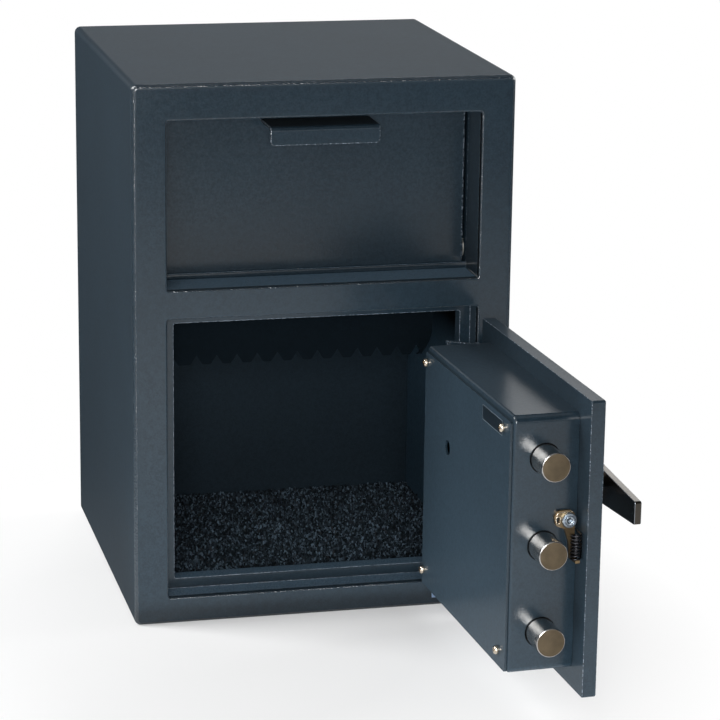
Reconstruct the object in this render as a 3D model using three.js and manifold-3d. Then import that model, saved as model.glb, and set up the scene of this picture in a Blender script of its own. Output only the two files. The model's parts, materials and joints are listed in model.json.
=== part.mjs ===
// Front-loading drop safe with a tilting deposit hopper above a locked door.
// Millimetres, +Z up, origin in the middle of the body's underside, front towards -Y.
// It stands as stored: hopper shut, door open, bolts thrown.

import * as THREE from 'three';
import { mergeVertices } from 'three/addons/utils/BufferGeometryUtils.js';
import Module from 'manifold-3d';

const wasm = await Module();
wasm.setup();

// Clearances
const seatGap = 0.3; // between two pieces that are fastened to each other
const turnGap = 0.4; // radial, between a pin and its eye
const doorGap = 2.4; // round the shut door in its opening
const hopperGap = 2.4; // between the hopper and the walls beside it

// Body of welded plate
const bodyWidth = 355.6;
const bodyDepth = 355.6;
const bodyHeight = 508;
const bodyWall = 6.35;
const bodyCornerRadius = 6;
const frontEdgeRadius = 4.5;
const anchorHoleRadius = 6.5;
const anchorHoleInset = 60;
const carpetThickness = 7.5;

// Front face: rails round the door opening below and the deposit opening above
const sideRail = 31.75;
const bottomRail = 25.4;
const doorOpeningHeight = 266.7;
const middleRail = 27;
const topRail = 33.3;
const openingCornerRadius = 2;
const openingEdgeRadius = 2;

// Door jamb: a return, a lip that stops the door and a second return behind it
const jambThickness = 4.8;
const lipDepth = 26;
const lipWidth = 10;
const jambEndDepth = 42;

// Deposit recess and hopper
const recessWall = 4.8;
const recessHeelHeight = 5; // hides the gap at the foot of the panel
const recessHeelThickness = 1.5;
const recessHeelRadius = 4;
const panelDepth = 48;
const panelThickness = 4.8;
const panelFootGap = 2.4;
const panelHeadGap = 1.7;
const hopperRodRadius = 5;
const hopperRodHeight = 14; // above the foot of the panel
const hopperRodSetback = 9.4; // behind the back of the panel
const quadrantThickness = 2.5;
const quadrantHeel = 12; // behind the rod, at the foot
const quadrantHeadGap = 1.5; // below the head of the panel
const quadrantTopAngle = 84;
const trayAngle = -30;
const trayEndGap = 8; // inside the edge of the quadrants
const trayThickness = 2.5;
const trayLipHeight = 12;
const hopperTilt = 50; // how far the hopper opens, degrees
const pullWidth = 102;
const pullThickness = 3;
const pullLipHeight = 17;
const pullDrop = 9; // from the top of the recess to the pull
const pullSetback = 2; // pull lip behind the front face
const pullCornerRadius = 4;
const guideThickness = 3;
const guideDepth = 150; // front to back
const guideBelowRod = 35.5; // from the rod down to the foot of the guide plates
const guideCornerRadius = 10;
const bushRadius = 9;
const bushFlangeRadius = 12;
const bushFlange = 2;
const stopWidth = 60;
const stopPadThickness = 3;
const stopReach = 12; // how far the stop covers the head of the panel
const stopLanding = 22; // along the ceiling

// Baffles that keep hands and hooks out
const baffleThickness = 2.5;
const hoodGap = 5; // between the hood and the quadrants
const hoodTopAngle = 76;
const notchPitch = 19.56;
const notchDepth = 9;
const notchHalf = 5.8;
const notchRounding = 3;
const apronNotchCount = 12;
const apronNotchShift = 5.9; // of the row of notches, towards the hinges
const apronHalf = 129.5;
const apronDepth = 98; // from the front face
const apronFoot = 222; // height of its lower edge above the floor
const apronBendRadius = 50;
const apronCapStart = 12; // depth at which its fastened edge begins
const apronCornerRadius = 45;
const apronCornerHeight = 29; // of the rounded stretch at each end

// Door
const doorThickness = 12.7;
const doorEdge = 1.2;
const sealGap = 0.5;
const doorAngle = 92.5; // open angle in which it stands

// External hinges, whose axis lies in front of the right rail
const hingeAxisInset = 6.5; // from the side of the body
const knuckleRadius = 6.3;
const knuckleLength = 28;
const hingePinRadius = 3.6;
const hingePinHeadRadius = 5.4;
const hingePinHead = 3;
const hingeHeights = [225, 62];
const strapThickness = 5;
const strapLanding = 30;
const strapInset = 12; // from the hinge end of the door plate

// Housing of the bolt work, on the inner side of the door
const boxDepth = 58;
const boxWall = 3;
const boxFreeInset = 26.5;
const boxHingeInset = 18;
const boxTopInset = 17;
const boxBottomInset = 17;
const boxEdgeRadius = 2.5;
const boxCornerRadius = 6.5;
const boxFlange = 14;
const coverThickness = 2;
const coverInsets = { hinge: 2, free: 3.5, top: 5.5, bottom: 1 };
const coverScrewInsets = { hinge: 6.5, free: 21.5, top: 15, bottom: 15 };
const coverScrewHeadRadius = 3.6;
const coverScrewHead = 3.2;
const coverScrewShankRadius = 1.7;
const changeHoleRadius = 7;
const changeHoleOffset = [14.3, 9.5]; // from the dial's axis

// Bolts and what draws them
const boltRadius = 12.7;
const boltChamfer = 1.6;
const boltReach = 28.3; // out of the housing when thrown
const boltTravel = 22;
const boltDepth = 30; // axis behind the plate
const boltHeights = [235, 158, 81];
const boltLength = 62;
const boltHoleClearance = 0.6;
const barThickness = 6;
const barWidth = 32;
const barEnd = 16;
const barScrewRadius = 4;
const barScrewHeadRadius = 6.5;
const barScrewHead = 5;
const barScrewGrip = 12;
const guideInset = 14; // from the housing wall
const guidePlate = 3;
const armThickness = 4;
const armDepth = 14; // its front face behind the plate
const armRise = 20; // of its root above the slot
const slotClearance = 0.9;
const tailHeight = 14;
const tailDrop = 2; // below the lock case

// Handle
const handleX = -24;
const handleZ = 186.5;
const handleStandoff = 32;
const handleThickness = 6.35;
const handleLength = 111;
const handleHubRadius = 17.5;
const handleTipHeight = 21;
const handleTurn = 90; // degrees from locked to open
const roseRadius = 20;
const roseThickness = 4;
const hubNeckRadius = 12;
const shaftRadius = 8;
const crankThickness = 6;
const crankDepth = 6; // behind the plate
const crankPinRadius = 4;
const crankPinReach = 7;

// Combination lock
const dialX = 40.6;
const dialZ = handleZ;
const dialRadius = 35.5;
const dialThickness = 9;
const dialKnobRadius = 18;
const dialKnobLength = 19;
const dialFlutes = 24;
const dialRingRadius = 43;
const dialRingThickness = 12;
const spindleRadius = 3.9;
const hardPlateThickness = 5;
const hardPlateMargin = 5;
const lockWidth = 61;
const lockHeight = 84;
const lockBelowDial = 43;
const lockDepth = 24.5;
const lockCornerRadius = 7;
const lockCoverThickness = 2.5;
const lockFloor = 3.5;
const lockPocketRadius = 25;
const wheelRadius = 21;
const wheelThickness = 1.8;
const wheelPitch = 2.8;
const wheelGate = 4;
const camRadius = 15;
const camThickness = 3.5;
const lockBoltWidth = 24.4;
const lockBoltThickness = 9.5;
const lockBoltLength = 18;
const lockBoltThrow = 8;
const lockBoltDepth = 6; // below the case floor

// Hinge-side bar that hooks behind the jamb
const deadBarThickness = 4;
const deadBarInset = 1.5; // from the top and foot of the housing
const deadBarLanding = 9;
const deadBarStart = 8; // behind the plate
const deadBarTip = 19.3; // out from the housing
const deadBarSlope = 50; // degrees away from the door's width

// Sprung detent on the free side of the housing
const detentThickness = 3;
const detentPivotDepth = 8.5;
const detentAboveBolt = 22.3; // pivot above the middle bolt
const detentShank = 20; // from the pivot down to where the shank is straight
const detentLength = 34; // from the pivot down to the foot
const detentFootThickness = 2.5;
const detentHead = 13; // from the pivot to the free side of the head
const detentHeadTop = 8.5; // above the pivot
const detentHeadFoot = 8; // below the pivot
const detentNeck = 6; // from the pivot towards the door plate
const detentShankWidth = 5.5;
const detentHoleInset = 3.5; // from the free side of the head
const detentHoleRadius = 1.3;
const detentHoleStraight = 3;
const detentTurn = 12;
const detentScrewRadius = 6.7;
const detentScrewDome = 3.6;
const detentShankRadius = 3;
const detentFootReach = 15;
const springRadius = 3.8;
const springWire = 0.6;
const springTurns = 7;
const springPitch = 2.8;
const springStandoff = 10.5; // from the lever's outer face

// Steps of round forms
const quarterSteps = 5;
const arcStep = 18; // degrees
const roundSteps = 32;
const smallRoundSteps = 20;

// Places that follow
const front = -bodyDepth / 2;
const back = bodyDepth / 2;
const side = bodyWidth / 2;
const openingHalf = side - sideRail;
const doorOpeningFoot = bottomRail;
const doorOpeningHead = bottomRail + doorOpeningHeight;
const recessFoot = doorOpeningHead + middleRail;
const recessHead = bodyHeight - topRail;
const degrees = Math.PI / 180;
const doorFace = lipDepth - sealGap - doorThickness; // depth of the shut door's outer face
const doorBackDepth = lipDepth - sealGap;
const doorHalf = openingHalf - doorGap;
const doorFoot = doorOpeningFoot + doorGap;
const doorHead = doorOpeningHead - doorGap;
const hingeX = side - hingeAxisInset;
const hingeY = front - knuckleRadius - seatGap;
const atDepth = (depth) => front + depth;
const behindDoor = (depth) => front + doorBackDepth + depth;
const aheadOfDoor = (distance) => front + doorFace - distance;

// Surface finishes
const finish = (color, metalness, roughness) => new THREE.MeshStandardMaterial({ color, metalness, roughness });
const paint = finish(0x343d47, 0.15, 0.45);
const steel = finish(0x8c9095, 0.9, 0.4);
const chrome = finish(0xd9dbdd, 1, 0.12);
const brushedChrome = finish(0xb9b4a8, 1, 0.3);
const zinc = finish(0xa8946c, 0.9, 0.35);
const brass = finish(0xb9924a, 0.9, 0.35);
const castZinc = finish(0x84878a, 0.8, 0.5);
const black = finish(0x141517, 0.1, 0.45);
const rubber = finish(0x1a1a1b, 0, 0.9);
const nylon = finish(0xd8d6cf, 0, 0.5);
const carpet = finish(0x2c323a, 0, 1);

// Outline through corners [x, y, radius], the radius being left out for a sharp one
function outline(corners) {
  const points = [];
  corners.forEach(([x, y, radius = 0], index) => {
    const corner = new THREE.Vector2(x, y);
    if (radius === 0) {
      points.push(corner);
      return;
    }
    const [beforeX, beforeY] = corners.at(index - 1);
    const [afterX, afterY] = corners[(index + 1) % corners.length];
    const toBefore = new THREE.Vector2(beforeX - x, beforeY - y).normalize();
    const toAfter = new THREE.Vector2(afterX - x, afterY - y).normalize();
    const half = Math.acos(THREE.MathUtils.clamp(toBefore.dot(toAfter), -1, 1)) / 2;
    const towardsCentre = toBefore.clone().add(toAfter).normalize();
    const centre = corner.clone().addScaledVector(towardsCentre, radius / Math.sin(half));
    const run = radius / Math.tan(half);
    const start = corner.clone().addScaledVector(toBefore, run).sub(centre).angle();
    let sweep = corner.clone().addScaledVector(toAfter, run).sub(centre).angle() - start;
    if (sweep > Math.PI) sweep -= 2 * Math.PI;
    if (sweep < -Math.PI) sweep += 2 * Math.PI;
    const steps = Math.ceil(Math.abs(sweep) / degrees / arcStep - 0.01);
    for (let step = 0; step <= steps; step += 1) {
      const angle = start + (sweep * step) / steps;
      points.push(new THREE.Vector2(centre.x + radius * Math.cos(angle), centre.y + radius * Math.sin(angle)));
    }
  });
  return points;
}

function rectangle(x0, y0, x1, y1, radius = 0) {
  return outline([[x0, y0, radius], [x1, y0, radius], [x1, y1, radius], [x0, y1, radius]]);
}

function circle(x, y, radius, steps = roundSteps) {
  return Array.from({ length: steps }, (_, step) => {
    const angle = (2 * Math.PI * step) / steps;
    return new THREE.Vector2(x + radius * Math.cos(angle), y + radius * Math.sin(angle));
  });
}

function arc(x, y, radius, fromDegrees, toDegrees, steps) {
  return Array.from({ length: steps + 1 }, (_, step) => {
    const angle = (fromDegrees + ((toDegrees - fromDegrees) * step) / steps) * degrees;
    return new THREE.Vector2(x + radius * Math.cos(angle), y + radius * Math.sin(angle));
  });
}

// Outline and holes drawn in the plane across an axis, and drawn out along it.
// Across x the plane is (y, z), across y it is (x, z) and across z it is (x, y).
function prism(points, axis, from, to, holes = []) {
  const shape = new THREE.Shape(points);
  holes.forEach((hole) => shape.holes.push(new THREE.Path(hole)));
  const depth = Math.abs(to - from);
  const geometry = new THREE.ExtrudeGeometry(shape, { depth, bevelEnabled: false });
  const low = Math.min(from, to);
  const turn = new THREE.Matrix4();
  if (axis === 'x') {
    turn.makeBasis(new THREE.Vector3(0, 1, 0), new THREE.Vector3(0, 0, 1), new THREE.Vector3(1, 0, 0));
    turn.setPosition(low, 0, 0);
  } else if (axis === 'y') {
    turn.makeBasis(new THREE.Vector3(1, 0, 0), new THREE.Vector3(0, 0, 1), new THREE.Vector3(0, -1, 0));
    turn.setPosition(0, low + depth, 0);
  } else {
    turn.setPosition(0, 0, low);
  }
  return geometry.applyMatrix4(turn);
}

// Skin over loops of as many points each, closed at both ends
function loft(loops) {
  const count = loops[0].length;
  const positions = loops.flat().flatMap((point) => [point.x, point.y, point.z]);
  const index = [];
  for (let ring = 0; ring < loops.length - 1; ring += 1) {
    for (let step = 0; step < count; step += 1) {
      const a = ring * count + step;
      const b = ring * count + ((step + 1) % count);
      index.push(a, b + count, b, a, a + count, b + count);
    }
  }
  const flat = loops[0].map((point) => new THREE.Vector2(point.x, point.z));
  const last = (loops.length - 1) * count;
  THREE.ShapeUtils.triangulateShape(flat, []).forEach(([a, b, c]) => {
    index.push(a, b, c);
    index.push(last + c, last + b, last + a);
  });
  const geometry = new THREE.BufferGeometry();
  geometry.setAttribute('position', new THREE.Float32BufferAttribute(positions, 3));
  geometry.setIndex(index);
  return geometry;
}

// Plate across y whose front edges are rounded; frontSteps of 1 makes a chamfer
function plateWithSoftFront(x0, z0, x1, z1, cornerRadius, edge, from, to, frontSteps = quarterSteps) {
  const ringAt = (inset, y) => {
    const points = rectangle(x0 + inset, z0 + inset, x1 - inset, z1 - inset, cornerRadius - inset);
    return points.map((point) => new THREE.Vector3(point.x, y, point.y));
  };
  const loops = [];
  for (let step = 0; step <= frontSteps; step += 1) {
    const angle = (90 * step * degrees) / frontSteps;
    loops.push(ringAt(edge * (1 - Math.sin(angle)), from + edge * (1 - Math.cos(angle))));
  }
  loops.push(ringAt(0, to));
  return loft(loops);
}

// Round solid turned about an axis, from a profile of [radius, distance along the axis]
function turned(profile, axis, centre, steps = roundSteps) {
  const points = profile.map(([radius, along]) => new THREE.Vector2(radius, along));
  if (THREE.ShapeUtils.area(points) < 0) points.reverse();
  const geometry = new THREE.LatheGeometry(points, steps);
  if (axis === 'x') geometry.rotateZ(-Math.PI / 2);
  if (axis === 'z') geometry.rotateX(Math.PI / 2);
  return geometry.translate(...centre);
}

function solidOf(geometry) {
  const bare = geometry.clone();
  bare.deleteAttribute('normal');
  bare.deleteAttribute('uv');
  const merged = mergeVertices(bare, 1e-4);
  const mesh = new wasm.Mesh({
    numProp: 3,
    vertProperties: new Float32Array(merged.attributes.position.array),
    triVerts: new Uint32Array(merged.index.array),
  });
  return new wasm.Manifold(mesh);
}

function geometryOf(solid) {
  const { vertProperties, triVerts } = solid.getMesh();
  const geometry = new THREE.BufferGeometry();
  geometry.setAttribute('position', new THREE.BufferAttribute(vertProperties, 3));
  geometry.setIndex(new THREE.BufferAttribute(triVerts, 1));
  const facets = geometry.toNonIndexed();
  facets.computeVertexNormals();
  return facets;
}

function cut(base, ...tools) {
  return geometryOf(tools.reduce((solid, tool) => solid.subtract(solidOf(tool)), solidOf(base)));
}

function join(base, ...others) {
  return geometryOf(others.reduce((solid, other) => solid.add(solidOf(other)), solidOf(base)));
}

// Straight pin or hole along an axis through a point given in the plane across it
function rod(axis, radius, from, to, [first, second], steps = smallRoundSteps) {
  return prism(circle(first, second, radius, steps), axis, from, to);
}

function frameRing(outer, inner, from, to) {
  return prism(outer, 'y', from, to, [inner]);
}

const safe = new THREE.Group();
const door = new THREE.Group();
door.position.set(hingeX, hingeY, 0);
door.rotation.z = doorAngle * degrees;
const shutDoor = new THREE.Group();
shutDoor.position.set(-hingeX, -hingeY, 0);
door.add(shutDoor);
safe.add(door);

function place(group, name, geometry, material) {
  const mesh = new THREE.Mesh(geometry, material);
  mesh.name = name;
  group.add(mesh);
}

// Body: a wrap of plate, a back and the front face with its two openings
function buildBody() {
  const wrapOuter = rectangle(-side, 0, side, bodyHeight, bodyCornerRadius);
  const inner = side - bodyWall;
  const wrapInner = rectangle(-inner, bodyWall, inner, bodyHeight - bodyWall, 1);
  const wrap = prism(wrapOuter, 'y', atDepth(bodyWall), back, [wrapInner]);
  const anchors = [-1, 1].flatMap((left) => [-1, 1].map((near) => {
    const centre = [left * (side - anchorHoleInset), near * (back - anchorHoleInset)];
    return rod('z', anchorHoleRadius, -1, bodyWall + 1, centre);
  }));
  place(safe, 'body_shell', cut(wrap, ...anchors), paint);

  const backHalf = inner - seatGap;
  const backOutline = rectangle(-backHalf, bodyWall + seatGap, backHalf, bodyHeight - bodyWall - seatGap, 1);
  place(safe, 'back_panel', prism(backOutline, 'y', back - bodyWall, back), paint);

  const face = plateWithSoftFront(-side, 0, side, bodyHeight, bodyCornerRadius, frontEdgeRadius, front, atDepth(bodyWall));
  const openings = [[doorOpeningFoot, doorOpeningHead], [recessFoot, recessHead]].flatMap(([foot, head]) => {
    const hole = rectangle(-openingHalf, foot, openingHalf, head, openingCornerRadius);
    const flare = (grow, y) => rectangle(-openingHalf - grow, foot - grow, openingHalf + grow, head + grow, openingCornerRadius + grow)
      .map((point) => new THREE.Vector3(point.x, y, point.y));
    const round = [90, 67.5, 45, 22.5, 0].map((angle) => flare(
      openingEdgeRadius * (1 - Math.cos(angle * degrees)), front + openingEdgeRadius * (1 - Math.sin(angle * degrees))));
    const mouth = loft([flare(openingEdgeRadius, front - 1), ...round]);
    return [prism(hole, 'y', front - 1, atDepth(bodyWall) + 1), mouth];
  });
  place(safe, 'front_frame', cut(face, ...openings), paint);
}

// Stepped jamb behind the door opening
function buildJamb() {
  const ring = (inset, grow) => rectangle(
    -openingHalf + inset - grow, doorOpeningFoot + inset - grow,
    openingHalf - inset + grow, doorOpeningHead - inset + grow, openingCornerRadius);
  const firstReturn = frameRing(ring(0, jambThickness), ring(0, 0), atDepth(bodyWall), atDepth(lipDepth + jambThickness));
  const lip = frameRing(ring(0, jambThickness), ring(lipWidth, 0), atDepth(lipDepth), atDepth(lipDepth + jambThickness));
  const secondReturn = frameRing(ring(lipWidth, jambThickness), ring(lipWidth, 0), atDepth(lipDepth), atDepth(jambEndDepth));
  place(safe, 'door_jamb', join(firstReturn, lip, secondReturn), paint);
}

// Places of the hopper, as depth from the front face and height
const rodDepth = panelDepth + panelThickness + hopperRodSetback;
const panelFoot = recessFoot + panelFootGap;
const panelHead = recessHead - panelHeadGap;
const rodHeight = panelFoot + hopperRodHeight;
const rodY = atDepth(rodDepth);
const hopperHalf = openingHalf - hopperGap;
const ceiling = bodyHeight - bodyWall;
const quadrantRadius = panelHead - rodHeight - quadrantHeadGap;
const trayLength = quadrantRadius - trayEndGap;

// Lining of the deposit recess, which ends short of the tilting panel
function buildRecess() {
  const inner = rectangle(-openingHalf, recessFoot, openingHalf, recessHead, openingCornerRadius);
  const outer = rectangle(
    -openingHalf - recessWall, recessFoot - recessWall,
    openingHalf + recessWall, recessHead + recessWall, openingCornerRadius + recessWall);
  const lining = frameRing(outer, inner, atDepth(bodyWall), atDepth(panelDepth - 2));
  const heelBack = atDepth(panelDepth - 2);
  const heelFront = heelBack - recessHeelThickness;
  const heel = prism(outline([
    [heelBack, recessFoot - 1], [heelBack, recessFoot + recessHeelHeight], [heelFront, recessFoot + recessHeelHeight],
    [heelFront, recessFoot, recessHeelRadius], [heelFront - recessHeelRadius - 1, recessFoot],
    [heelFront - recessHeelRadius - 1, recessFoot - 1],
  ]), 'x', -openingHalf - 1, openingHalf + 1);
  place(safe, 'recess_lining', join(lining, heel), paint);

  // Plates beside the hopper, which hang from the ceiling and carry its bushes
  const guideStart = panelDepth - 2 + seatGap;
  const guideFoot = rodHeight - guideBelowRod;
  const guideOutline = outline([
    [atDepth(guideStart), guideFoot],
    [atDepth(guideStart + guideDepth * 0.55), guideFoot],
    [atDepth(guideStart + guideDepth), guideFoot + guideDepth * 0.45, guideCornerRadius],
    [atDepth(guideStart + guideDepth), ceiling - seatGap],
    [atDepth(guideStart), ceiling - seatGap],
  ]);
  [['left', -1], ['right', 1]].forEach(([name, sign]) => {
    const near = openingHalf;
    const far = openingHalf + guideThickness;
    const hole = circle(rodY, rodHeight, bushRadius + seatGap, smallRoundSteps);
    place(safe, `hopper_guide_${name}`, prism(guideOutline, 'x', sign * near, sign * far, [hole]), paint);

    const eye = circle(rodY, rodHeight, hopperRodRadius + turnGap, smallRoundSteps);
    const bushBody = prism(circle(rodY, rodHeight, bushRadius, smallRoundSteps), 'x', sign * near, sign * (far + bushFlange + seatGap), [eye]);
    const collar = prism(circle(rodY, rodHeight, bushFlangeRadius, smallRoundSteps), 'x',
      sign * (far + seatGap), sign * (far + bushFlange + seatGap), [eye]);
    place(safe, `hopper_bush_${name}`, join(bushBody, collar), nylon);
  });
}

// Corners of a row of notches along x, cut up into an edge at height foot
function notchCorners(foot, count, middle) {
  return Array.from({ length: count }, (_, index) => {
    const centre = middle + (index - (count - 1) / 2) * notchPitch;
    return [[centre - notchHalf, foot, notchRounding], [centre, foot + notchDepth], [centre + notchHalf, foot, notchRounding]];
  }).flat();
}

// Apron below the recess, in the top of the compartment, and the hood behind the hopper
function buildBaffles() {
  const apronHead = recessFoot - recessWall - seatGap;
  const bendDepth = apronDepth - apronBendRadius;
  const bendHeight = apronHead - baffleThickness - apronBendRadius;
  const section = [
    new THREE.Vector2(atDepth(apronCapStart), apronHead),
    new THREE.Vector2(atDepth(apronCapStart), apronHead - baffleThickness),
    ...arc(atDepth(bendDepth), bendHeight, apronBendRadius, 90, 0, 8),
    new THREE.Vector2(atDepth(apronDepth), apronFoot),
    new THREE.Vector2(atDepth(apronDepth + baffleThickness), apronFoot),
    ...arc(atDepth(bendDepth), bendHeight, apronBendRadius + baffleThickness, 0, 90, 8),
  ];
  const bentSheet = prism(section, 'x', -apronHalf, apronHalf);
  const cornerAngle = -Math.asin(apronCornerHeight / apronCornerRadius) / degrees;
  const cornerTop = apronFoot + apronCornerHeight;
  const rightEnd = arc(apronHalf - apronCornerRadius, cornerTop, apronCornerRadius, cornerAngle, 0, 4);
  const leftEnd = rightEnd.map((point) => new THREE.Vector2(-point.x, point.y)).reverse();
  const blank = outline([
    ...leftEnd.map((point) => [point.x, point.y]),
    ...notchCorners(apronFoot, apronNotchCount, apronNotchShift),
    ...rightEnd.map((point) => [point.x, point.y]),
    [apronHalf, apronHead + 1], [-apronHalf, apronHead + 1],
  ]);
  const blankPrism = prism(blank, 'y', atDepth(apronCapStart) - 1, atDepth(apronDepth + baffleThickness) + 1);
  place(safe, 'baffle_apron', geometryOf(solidOf(bentSheet).intersect(solidOf(blankPrism))), paint);

  const hoodHalf = openingHalf - seatGap;
  const inside = quadrantRadius + hoodGap;
  const outside = inside + baffleThickness;
  const tiltEnd = trayAngle + hopperTilt;
  const inner = arc(rodY, rodHeight, inside, tiltEnd, hoodTopAngle, 14);
  const outer = arc(rodY, rodHeight, outside, hoodTopAngle, tiltEnd, 14);
  const topY = inner.at(-1).x;
  const upright = [
    new THREE.Vector2(topY, ceiling - seatGap),
    new THREE.Vector2(topY + baffleThickness, ceiling - seatGap),
  ];
  place(safe, 'hopper_hood', prism([...inner, ...upright, ...outer], 'x', -hoodHalf, hoodHalf), paint);
}

// Stop behind the head of the hopper panel, on the ceiling
function buildStop() {
  const padFront = atDepth(panelDepth + panelThickness) + seatGap;
  const angleFront = padFront + stopPadThickness + seatGap;
  const foot = panelHead - stopReach;
  const angle = outline([
    [angleFront, foot], [angleFront + guideThickness, foot],
    [angleFront + guideThickness, ceiling - seatGap - guideThickness],
    [angleFront + stopLanding, ceiling - seatGap - guideThickness],
    [angleFront + stopLanding, ceiling - seatGap], [angleFront, ceiling - seatGap],
  ]);
  place(safe, 'closing_stop', prism(angle, 'x', -stopWidth / 2, stopWidth / 2), paint);
  const pad = prism(rectangle(-stopWidth / 2 + 4, foot, stopWidth / 2 - 4, panelHead, 1.5), 'y', padFront, padFront + stopPadThickness);
  place(safe, 'stop_pad', pad, rubber);
}

// Hopper: front panel, bent pull, quadrants at its ends, tray and rod
function buildHopper() {
  const panelY = atDepth(panelDepth);
  const panel = plateWithSoftFront(-hopperHalf, panelFoot, hopperHalf, panelHead, 2, doorEdge, panelY, panelY + panelThickness, 1);
  place(safe, 'hopper_panel', panel, paint);

  const lipFace = atDepth(pullSetback);
  const pullTop = recessHead - pullDrop;
  const bendRadius = pullThickness + 1;
  const section = outline([
    [panelY - seatGap, pullTop], [lipFace, pullTop, bendRadius], [lipFace, pullTop - pullLipHeight],
    [lipFace + pullThickness, pullTop - pullLipHeight],
    [lipFace + pullThickness, pullTop - pullThickness, 1], [panelY - seatGap, pullTop - pullThickness],
  ]);
  const bentPull = prism(section, 'x', -pullWidth / 2, pullWidth / 2);
  const keep = join(
    prism(rectangle(-pullWidth / 2, pullTop - pullLipHeight, pullWidth / 2, pullTop + 1, pullCornerRadius), 'y', lipFace - 1, lipFace + pullThickness + 1),
    prism(rectangle(-pullWidth / 2 - 1, pullTop - pullLipHeight / 2, pullWidth / 2 + 1, pullTop + 2), 'y', lipFace - 1, panelY));
  place(safe, 'hopper_pull', geometryOf(solidOf(bentPull).intersect(solidOf(keep))), paint);

  const rodEye = circle(rodY, rodHeight, hopperRodRadius + seatGap, smallRoundSteps);
  const panelBack = panelY + panelThickness + seatGap;
  const quadrant = [
    ...arc(rodY, rodHeight, quadrantRadius, trayAngle, quadrantTopAngle, 12),
    new THREE.Vector2(panelBack, panelHead - panelHeadGap * 4),
    new THREE.Vector2(panelBack, panelFoot + 2),
    new THREE.Vector2(rodY, panelFoot),
    new THREE.Vector2(rodY + quadrantHeel * Math.cos(trayAngle * degrees), panelFoot),
  ];
  [['left', -1], ['right', 1]].forEach(([name, sign]) => {
    const plate = prism(quadrant, 'x', sign * (hopperHalf - quadrantThickness), sign * hopperHalf, [rodEye]);
    place(safe, `hopper_quadrant_${name}`, plate, paint);
  });

  const rodEnd = openingHalf + guideThickness + bushFlange + seatGap;
  place(safe, 'hopper_rod', rod('x', hopperRodRadius, -rodEnd, rodEnd, [rodY, rodHeight]), steel);

  // Tray in the rod's frame: along it the floor, then a hemmed lip at the free end
  const trayHalf = hopperHalf - quadrantThickness - seatGap;
  const floorTop = -hopperRodRadius - seatGap;
  const floorFoot = floorTop - trayThickness;
  const profile = outline([
    [-5, floorFoot], [trayLength - trayThickness, floorFoot, 1], [trayLength - trayThickness, floorFoot - trayLipHeight],
    [trayLength, floorFoot - trayLipHeight], [trayLength, floorTop, 3], [-5, floorTop],
  ]);
  const turn = new THREE.Matrix4()
    .makeTranslation(0, rodY, rodHeight)
    .multiply(new THREE.Matrix4().makeRotationX(trayAngle * degrees));
  place(safe, 'hopper_tray', prism(profile, 'x', -trayHalf, trayHalf).applyMatrix4(turn), paint);
}

function buildCarpet() {
  const half = side - bodyWall - 1;
  const mat = prism(rectangle(-half, atDepth(bodyWall + 1), half, back - bodyWall - 1, 3), 'z', bodyWall + seatGap, bodyWall + carpetThickness);
  place(safe, 'carpet_mat', mat, carpet);
}

// Hinges: a knuckle on the rail, a cranked strap with its knuckle on the door, and a pin
function buildHinges() {
  const pinHole = circle(hingeX, hingeY, hingePinRadius + turnGap, smallRoundSteps);
  [['upper', hingeHeights[0]], ['lower', hingeHeights[1]]].forEach(([name, height]) => {
    const fixed = prism(circle(hingeX, hingeY, knuckleRadius, 24), 'z', height - knuckleLength, height, [pinHole]);
    place(safe, `hinge_knuckle_${name}`, fixed, paint);

    const head = height + knuckleLength + seatGap * 2;
    const pin = turned([
      [0, height - knuckleLength], [hingePinRadius, height - knuckleLength], [hingePinRadius, head],
      [hingePinHeadRadius, head], [hingePinHeadRadius, head + hingePinHead * 0.5],
      [hingePinHeadRadius * 0.6, head + hingePinHead], [0, head + hingePinHead],
    ], 'z', [hingeX, hingeY, 0], smallRoundSteps);
    place(safe, `hinge_pin_${name}`, pin, steel);

    const barrel = prism(circle(hingeX, hingeY, knuckleRadius, 24), 'z', height + seatGap, height + knuckleLength);
    const half = strapThickness / 2;
    const bendX = doorHalf - strapInset;
    const strap = outline([
      [hingeX, hingeY + half], [bendX, hingeY + half, 1.5], [bendX, aheadOfDoor(seatGap), 0],
      [bendX - strapLanding, aheadOfDoor(seatGap)], [bendX - strapLanding, aheadOfDoor(seatGap + strapThickness)],
      [bendX - strapThickness, aheadOfDoor(seatGap + strapThickness), 1.5], [bendX - strapThickness, hingeY - half, 4],
      [hingeX, hingeY - half],
    ]);
    const leaf = prism(strap, 'z', height + seatGap, height + knuckleLength);
    const bore = prism(pinHole, 'z', height - 1, height + knuckleLength + 1);
    place(shutDoor, `hinge_strap_${name}`, cut(join(barrel, leaf), bore), paint);
  });
}

// Places of the bolt work on the shut door
const boxFree = -doorHalf + boxFreeInset;
const boxHinge = doorHalf - boxHingeInset;
const boxFoot = doorFoot + boxBottomInset;
const boxHead = doorHead - boxTopInset;
const boltTip = boxFree - boltReach;
const boltEnd = boltTip + boltLength;
const lockTop = hardPlateThickness + seatGap * 2;
const lockFoot = dialZ - lockBelowDial;
const detentPivotHeight = boltHeights[1] + detentAboveBolt;

function buildDoorPlate() {
  const plate = plateWithSoftFront(-doorHalf, doorFoot, doorHalf, doorHead, 2, doorEdge, aheadOfDoor(0), behindDoor(0), 2);
  const shaftHole = rod('y', shaftRadius + turnGap, aheadOfDoor(1), behindDoor(1), [handleX, handleZ]);
  const spindleHole = rod('y', spindleRadius + turnGap * 2, aheadOfDoor(1), behindDoor(1), [dialX, dialZ]);
  place(shutDoor, 'door_plate', cut(plate, shaftHole, spindleHole), paint);
}

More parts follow.
